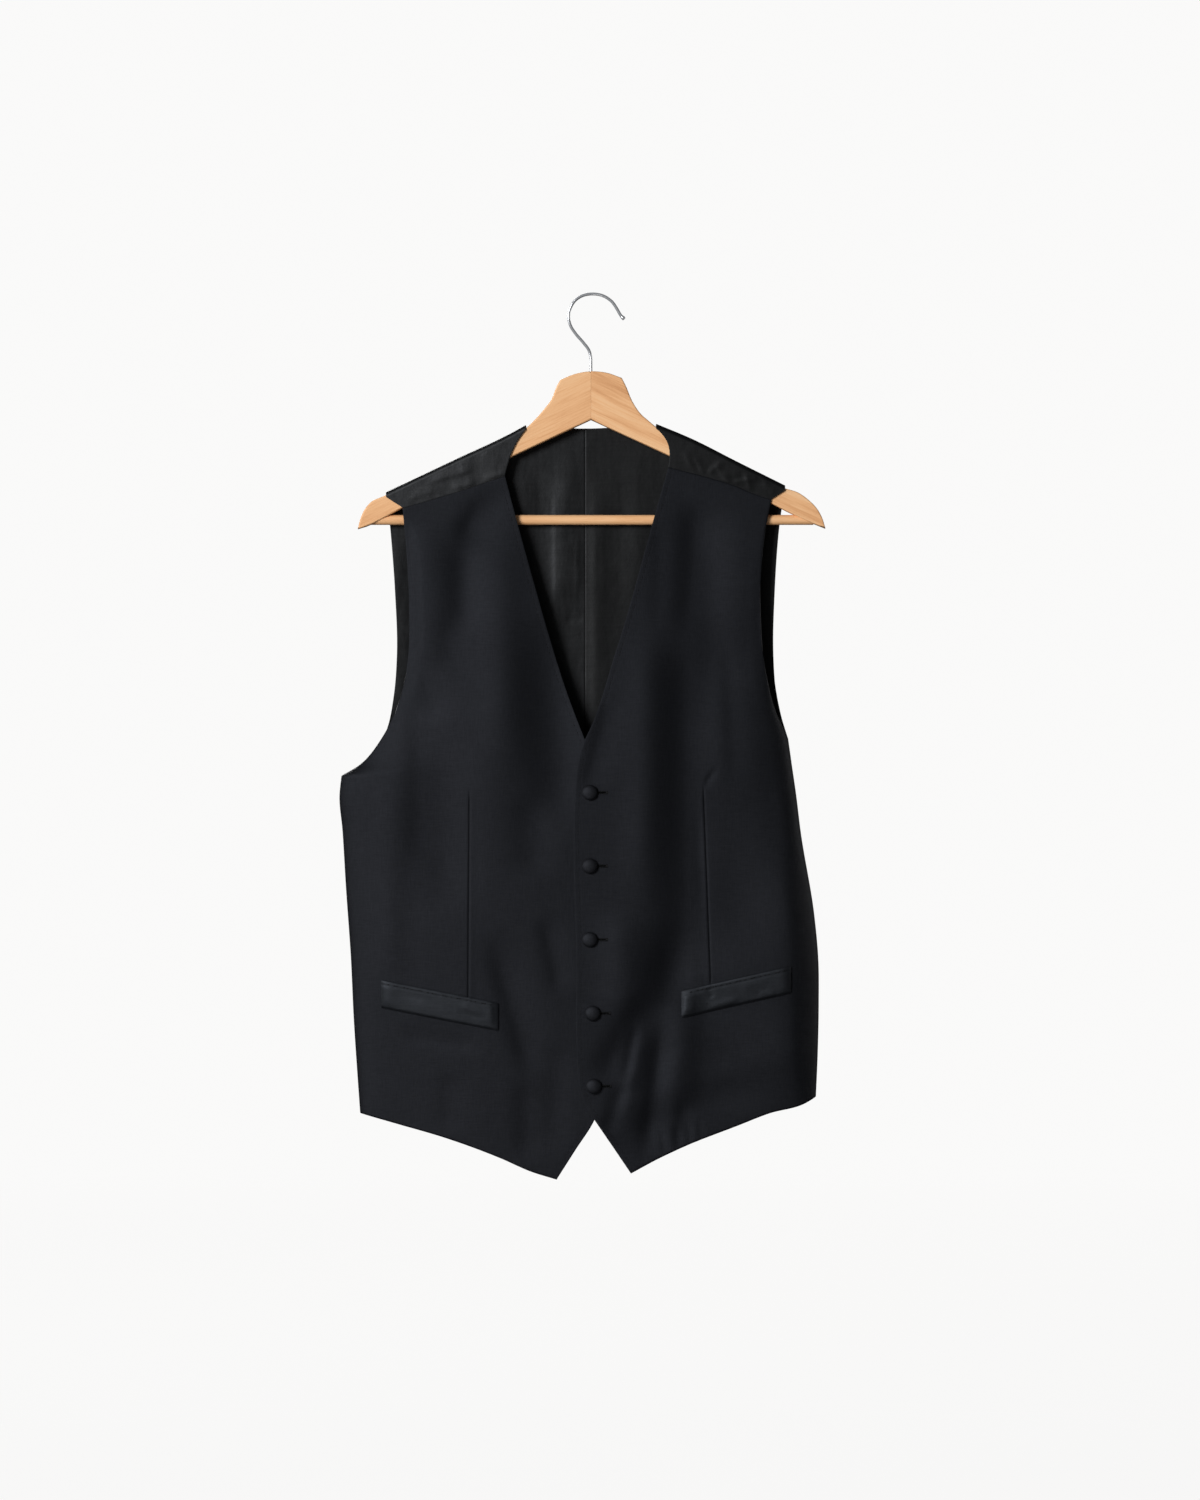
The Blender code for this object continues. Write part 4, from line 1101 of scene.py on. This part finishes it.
def inside_edge(panel, first, last):
    """The line of the pick stitches inside a front's edge, between two shares of the edge's length."""
    line = []
    for v in np.linspace(first, last, 200):
        outer, inner = outer_at(panel, np.array([v]))[0], curve_at(panel.inner, np.array([v]))[0]
        s = np.array([1 - PICK_IN / abs(inner[0] - outer[0])])
        x, _, drop = on_panel(panel, (), s, np.array([v]))[0]
        line.append((x, drop))
    return line


def along_welt(shape):
    """The line of the pick stitches below a welt's top."""
    ends = [np.array((place.x, place.drop + WELT_LINE_DROP)) for place in (shape.outer, shape.inner)]
    return [ends[0] + t * (ends[1] - ends[0]) for t in np.linspace(0.03, 0.97, 60)]


on_wool, on_welt = WOOL_THICK / 2 - 0.12, WELT_THICK / 2 - 0.03
left_bites = picked(left_middle, inside_edge(left_panel, 0.01, 0.985), on_wool)
right_bites = picked(right_middle, inside_edge(right_panel, 0.01, 0.40), on_wool)
right_bites += picked(right_middle, inside_edge(right_panel, 0.915, 0.985), on_wool)
pick_left = add_stitches("pick_stitches_left", left_bites, THREAD_THICK / 2)
pick_right = add_stitches("pick_stitches_right", right_bites, THREAD_THICK / 2)
for side, middle, shape in (
    ("right", right_welt_middle, RIGHT_WELT),
    ("left", left_welt_middle, LEFT_WELT),
):
    bites = picked(middle, along_welt(shape), on_welt, WELT_PICK_STEP, WELT_PICK_LONG)
    add_stitches(f"welt_stitches_{side}", bites, WELT_THREAD_THICK / 2)


# --------------------------------------------------------------------
# Five worked buttonholes lie across the left front's edge. Each is cut through the cloth, with close silk
# stitches over both lips of the slit and a bar of thread across its inner end.
BUTTONS = (Place(-1.0, 473.9), Place(-1.0, 543.5), Place(-1.0, 613.2), Place(1.8, 683.1), Place(2.7, 752.5))
HOLE_LONG = 16.5
HOLE_BEFORE = 1.0
HOLE_LIP = 1.5
HOLE_PITCH = 0.5
SLIT_HALF = 0.3
LIP_START, LIP_HIGH = 0.28, 0.42
BAR_STITCHES, BAR_PITCH, BAR_OVER, BAR_HIGH = 5, 0.3, 0.2, 0.5
HOLE_THREAD_RADIUS = 0.28
# The slit is shown by a flat near-black matte strip laid on the cloth: painted shade where the cut is.
SLIT_SHADE_COLOUR = (0.002, 0.002, 0.002)
slit_painted_shade, _ = finish("painted_shade_in_buttonhole", SLIT_SHADE_COLOUR, Roughness=1.0, Specular_IOR_Level=0.0)


def worked_hole(surface, place):
    """The bites of one buttonhole: over each lip, and a bar across the end."""
    bites = []
    for k in range(int(HOLE_LONG / HOLE_PITCH)):
        x = place.x - HOLE_BEFORE + k * HOLE_PITCH
        for side in (-1, 1):
            lip = HOLE_LIP + 0.12 * sin(k * 3.7 + side)
            start = np.array((x, place.drop + side * LIP_START))
            end = start + (0.05, side * (lip - LIP_START))
            bites.append(stitch_on(surface, start, end, on_wool, LIP_HIGH))
    for k in range(BAR_STITCHES):
        x = place.x - HOLE_BEFORE + HOLE_LONG + 0.1 + BAR_PITCH * k
        ends = [np.array((x, place.drop + side * (HOLE_LIP + BAR_OVER))) for side in (-1, 1)]
        bites.append(stitch_on(surface, *ends, on_wool, BAR_HIGH))
    return bites


for number, place in enumerate(BUTTONS, start=1):
    add_stitches(f"buttonhole_{number}", worked_hole(left_middle, place), HOLE_THREAD_RADIUS, sides=5)
    corners, faces = [], []
    # A near-black matte strip along the slit, just above the cloth: painted shade of the cut.
    slit_start = place.x - HOLE_BEFORE
    for k, x in enumerate(np.linspace(slit_start, slit_start + HOLE_LONG, 12)):
        for side in (-1, 1):
            corners.append(moved_out(left_middle, x, place.drop + side * SLIT_HALF, WOOL_THICK / 2 + 0.06)[0])
        if k:
            faces.append((2 * k - 2, 2 * k, 2 * k + 1, 2 * k - 1))
    slit = new_piece(f"buttonhole_painted_shade_{number}", in_metres(corners), faces, slit_painted_shade)


# --------------------------------------------------------------------
# The buttons are domed moulds covered in the same cloth, gathered in at the back, each on a wound thread
# shank that comes up through its buttonhole.
BUTTON_RADIUS = 7.3
BUTTON_LIFT = 0.9
BUTTON_RINGS, BUTTON_SIDES = 36, 72
GATHERS = 14
SHANK_RADIUS = 1.6
SHANK_RINGS, SHANK_SIDES = 9, 16
Ring = namedtuple("Ring", "share height")
BUTTON_PROFILE = (
    Ring(0, 4.35),
    Ring(0.2, 4.3),
    Ring(0.4, 4.1),
    Ring(0.6, 3.75),
    Ring(0.78, 3.2),
    Ring(0.9, 2.6),
    Ring(0.975, 1.95),
    Ring(1, 1.35),
    Ring(0.985, 0.8),
    Ring(0.93, 0.35),
    Ring(0.8, 0.05),
    Ring(0.55, 0),
)
button_cloth = wool("button_cloth", (0.0025, 0.0026, 0.0030), 0.26)


def button(name, surface, place, turn):
    """A covered dome standing on the cloth, with small gathers at its rim; it also gives its foot and outward
    way, where the shank goes.
    """
    profile = [(ring.share * BUTTON_RADIUS, ring.height) for ring in BUTTON_PROFILE]
    rings = curve_at(profile, np.linspace(0, 1, BUTTON_RINGS))
    around = BUTTON_SIDES
    foot, normal = moved_out(surface, place.x, place.drop, WOOL_THICK / 2)
    out = np.array((normal.x, normal.y, -normal.z))
    across = np.cross(out, (0.0, 0.0, 1.0))
    across /= np.linalg.norm(across)
    down = np.cross(across, out)
    corners, faces = [foot + out * (BUTTON_LIFT + BUTTON_PROFILE[0].height)], []
    for radius, height in rings[1:]:
        for k in range(around):
            angle = 2 * pi * k / around
            gather = 0.07 * np.clip(1.6 - height, 0, 1) * sin(GATHERS * angle + turn)
            aside = cos(angle) * across + sin(angle) * down
            corners.append(foot + out * (BUTTON_LIFT + height) + radius * (1 + gather / 3) * aside)
    for k in range(around):
        faces.append((0, 1 + k, 1 + (k + 1) % around))
    for ring in range(len(rings) - 2):
        low, high = 1 + ring * around, 1 + (ring + 1) * around
        for k in range(around):
            faces.append((low + k, high + k, high + (k + 1) % around, low + (k + 1) % around))
    last = 1 + (len(rings) - 2) * around
    faces.append(tuple(last + k for k in reversed(range(around))))
    return new_piece(name, in_metres(corners), faces, button_cloth), foot, out


for number, place in enumerate(BUTTONS, start=1):
    covered, foot, out = button(f"covered_button_{number}", left_middle, place, number)
    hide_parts(f"button_{number}")
    winding = [foot + out * h for h in np.linspace(-0.4, BUTTON_LIFT + 0.2, SHANK_RINGS)]
    radii = SHANK_RADIUS * (1 + 0.08 * np.cos(np.arange(SHANK_RINGS) * pi))
    shank = new_piece(f"button_shank_{number}", *tube(in_metres(winding), radii * MM, SHANK_SIDES), silk)


# --------------------------------------------------------------------
# The studio: a wide pale floor well below the hem, which melts into a pale surround. The window is a soft
# light at the left and a little above, with a weaker one farther round on that side. A fill and a side light
# stand at the right, a small bounce lies low in front, and one light comes from behind.
FLOOR_DROP = 1.30
FLOOR_RADIUS = 6.0
FLOOR_CLEAR = 2.0
FLOOR_SIDES = 96
AIM_DROP = 0.45
floor_mesh = bpy.data.meshes.new("studio_floor")
turns = np.linspace(0, 2 * pi, FLOOR_SIDES, endpoint=False)
rim = [(FLOOR_RADIUS * cos(turn), FLOOR_RADIUS * sin(turn), -FLOOR_DROP) for turn in turns]
floor_mesh.from_pydata(rim, [], [tuple(range(FLOOR_SIDES))])
floor = put("studio_floor", floor_mesh)
pale, pale_shader = finish("pale_floor", (0.03, 0.03, 0.03), Roughness=0.9, Specular_IOR_Level=0.0)
pale_shader.inputs["Emission Color"].default_value = (0.96, 0.957, 0.952, 1)
seen_only = add_node(pale, "LightPath").outputs["Is Camera Ray"]
join(pale, product(pale, seen_only, 0.95), pale_shader, "Emission Strength")
place = add_node(pale, "TexCoord").outputs["Object"]
away = add_node(pale, "VectorMath", {0: place}, operation="LENGTH").outputs["Value"]
join(pale, between(pale, away, FLOOR_CLEAR, FLOOR_RADIUS - 0.1, 1.0, 0.0), pale_shader, "Alpha")
floor_mesh.materials.append(pale)

surround = bpy.data.worlds.new("surround")
surround.use_nodes = True
bpy.context.scene.world = surround
sky = surround.node_tree.nodes["Background"]
seen = surround.node_tree.nodes.new("ShaderNodeBackground")
seen.inputs["Color"].default_value = (0.955, 0.952, 0.947, 1)
sky.inputs["Color"].default_value = (0.97, 0.98, 1.0, 1)
sky.inputs["Strength"].default_value = 0.06
path = surround.node_tree.nodes.new("ShaderNodeLightPath")
choice = surround.node_tree.nodes.new("ShaderNodeMixShader")
world_end = surround.node_tree.nodes["World Output"]
for output, socket in (
    (path.outputs["Is Camera Ray"], choice.inputs[0]),
    (sky.outputs[0], choice.inputs[1]),
    (seen.outputs[0], choice.inputs[2]),
    (choice.outputs[0], world_end.inputs["Surface"]),
):
    surround.node_tree.links.new(output, socket)


def soft_light(name, to_left, up, away, size, power, colour):
    """A square soft light that faces the waistcoat's middle, from so many degrees left of front and up."""
    middle = Vector((0, 0, -AIM_DROP))
    left, high = radians(to_left), radians(up)
    towards = Vector((-sin(left) * cos(high), -cos(left) * cos(high), sin(high)))
    data = bpy.data.lights.new(name, "AREA")
    data.size = size
    data.energy = power
    data.color = colour
    made = put(name, data)
    made.location = middle + towards * away
    made.rotation_euler = (-towards).to_track_quat("-Z", "Y").to_euler()


soft_light("window", 33, 15, 7.0, 2.4, 452.0, (0.97, 0.985, 1.0))
soft_light("side", 80, 8, 4.0, 2.0, 45.0, (0.97, 0.985, 1.0))
soft_light("fill", -50, 4, 4.0, 2.0, 3.6, (1.0, 0.98, 0.96))
soft_light("right", -104, 8, 4.0, 2.0, 34.0, (1.0, 0.98, 0.96))
soft_light("bounce", 12, -30, 1.35, 0.6, 3.0, (1.0, 0.99, 0.98))
soft_light("behind", 158, 24, 4.0, 2.0, 90.0, (1.0, 0.99, 0.98))
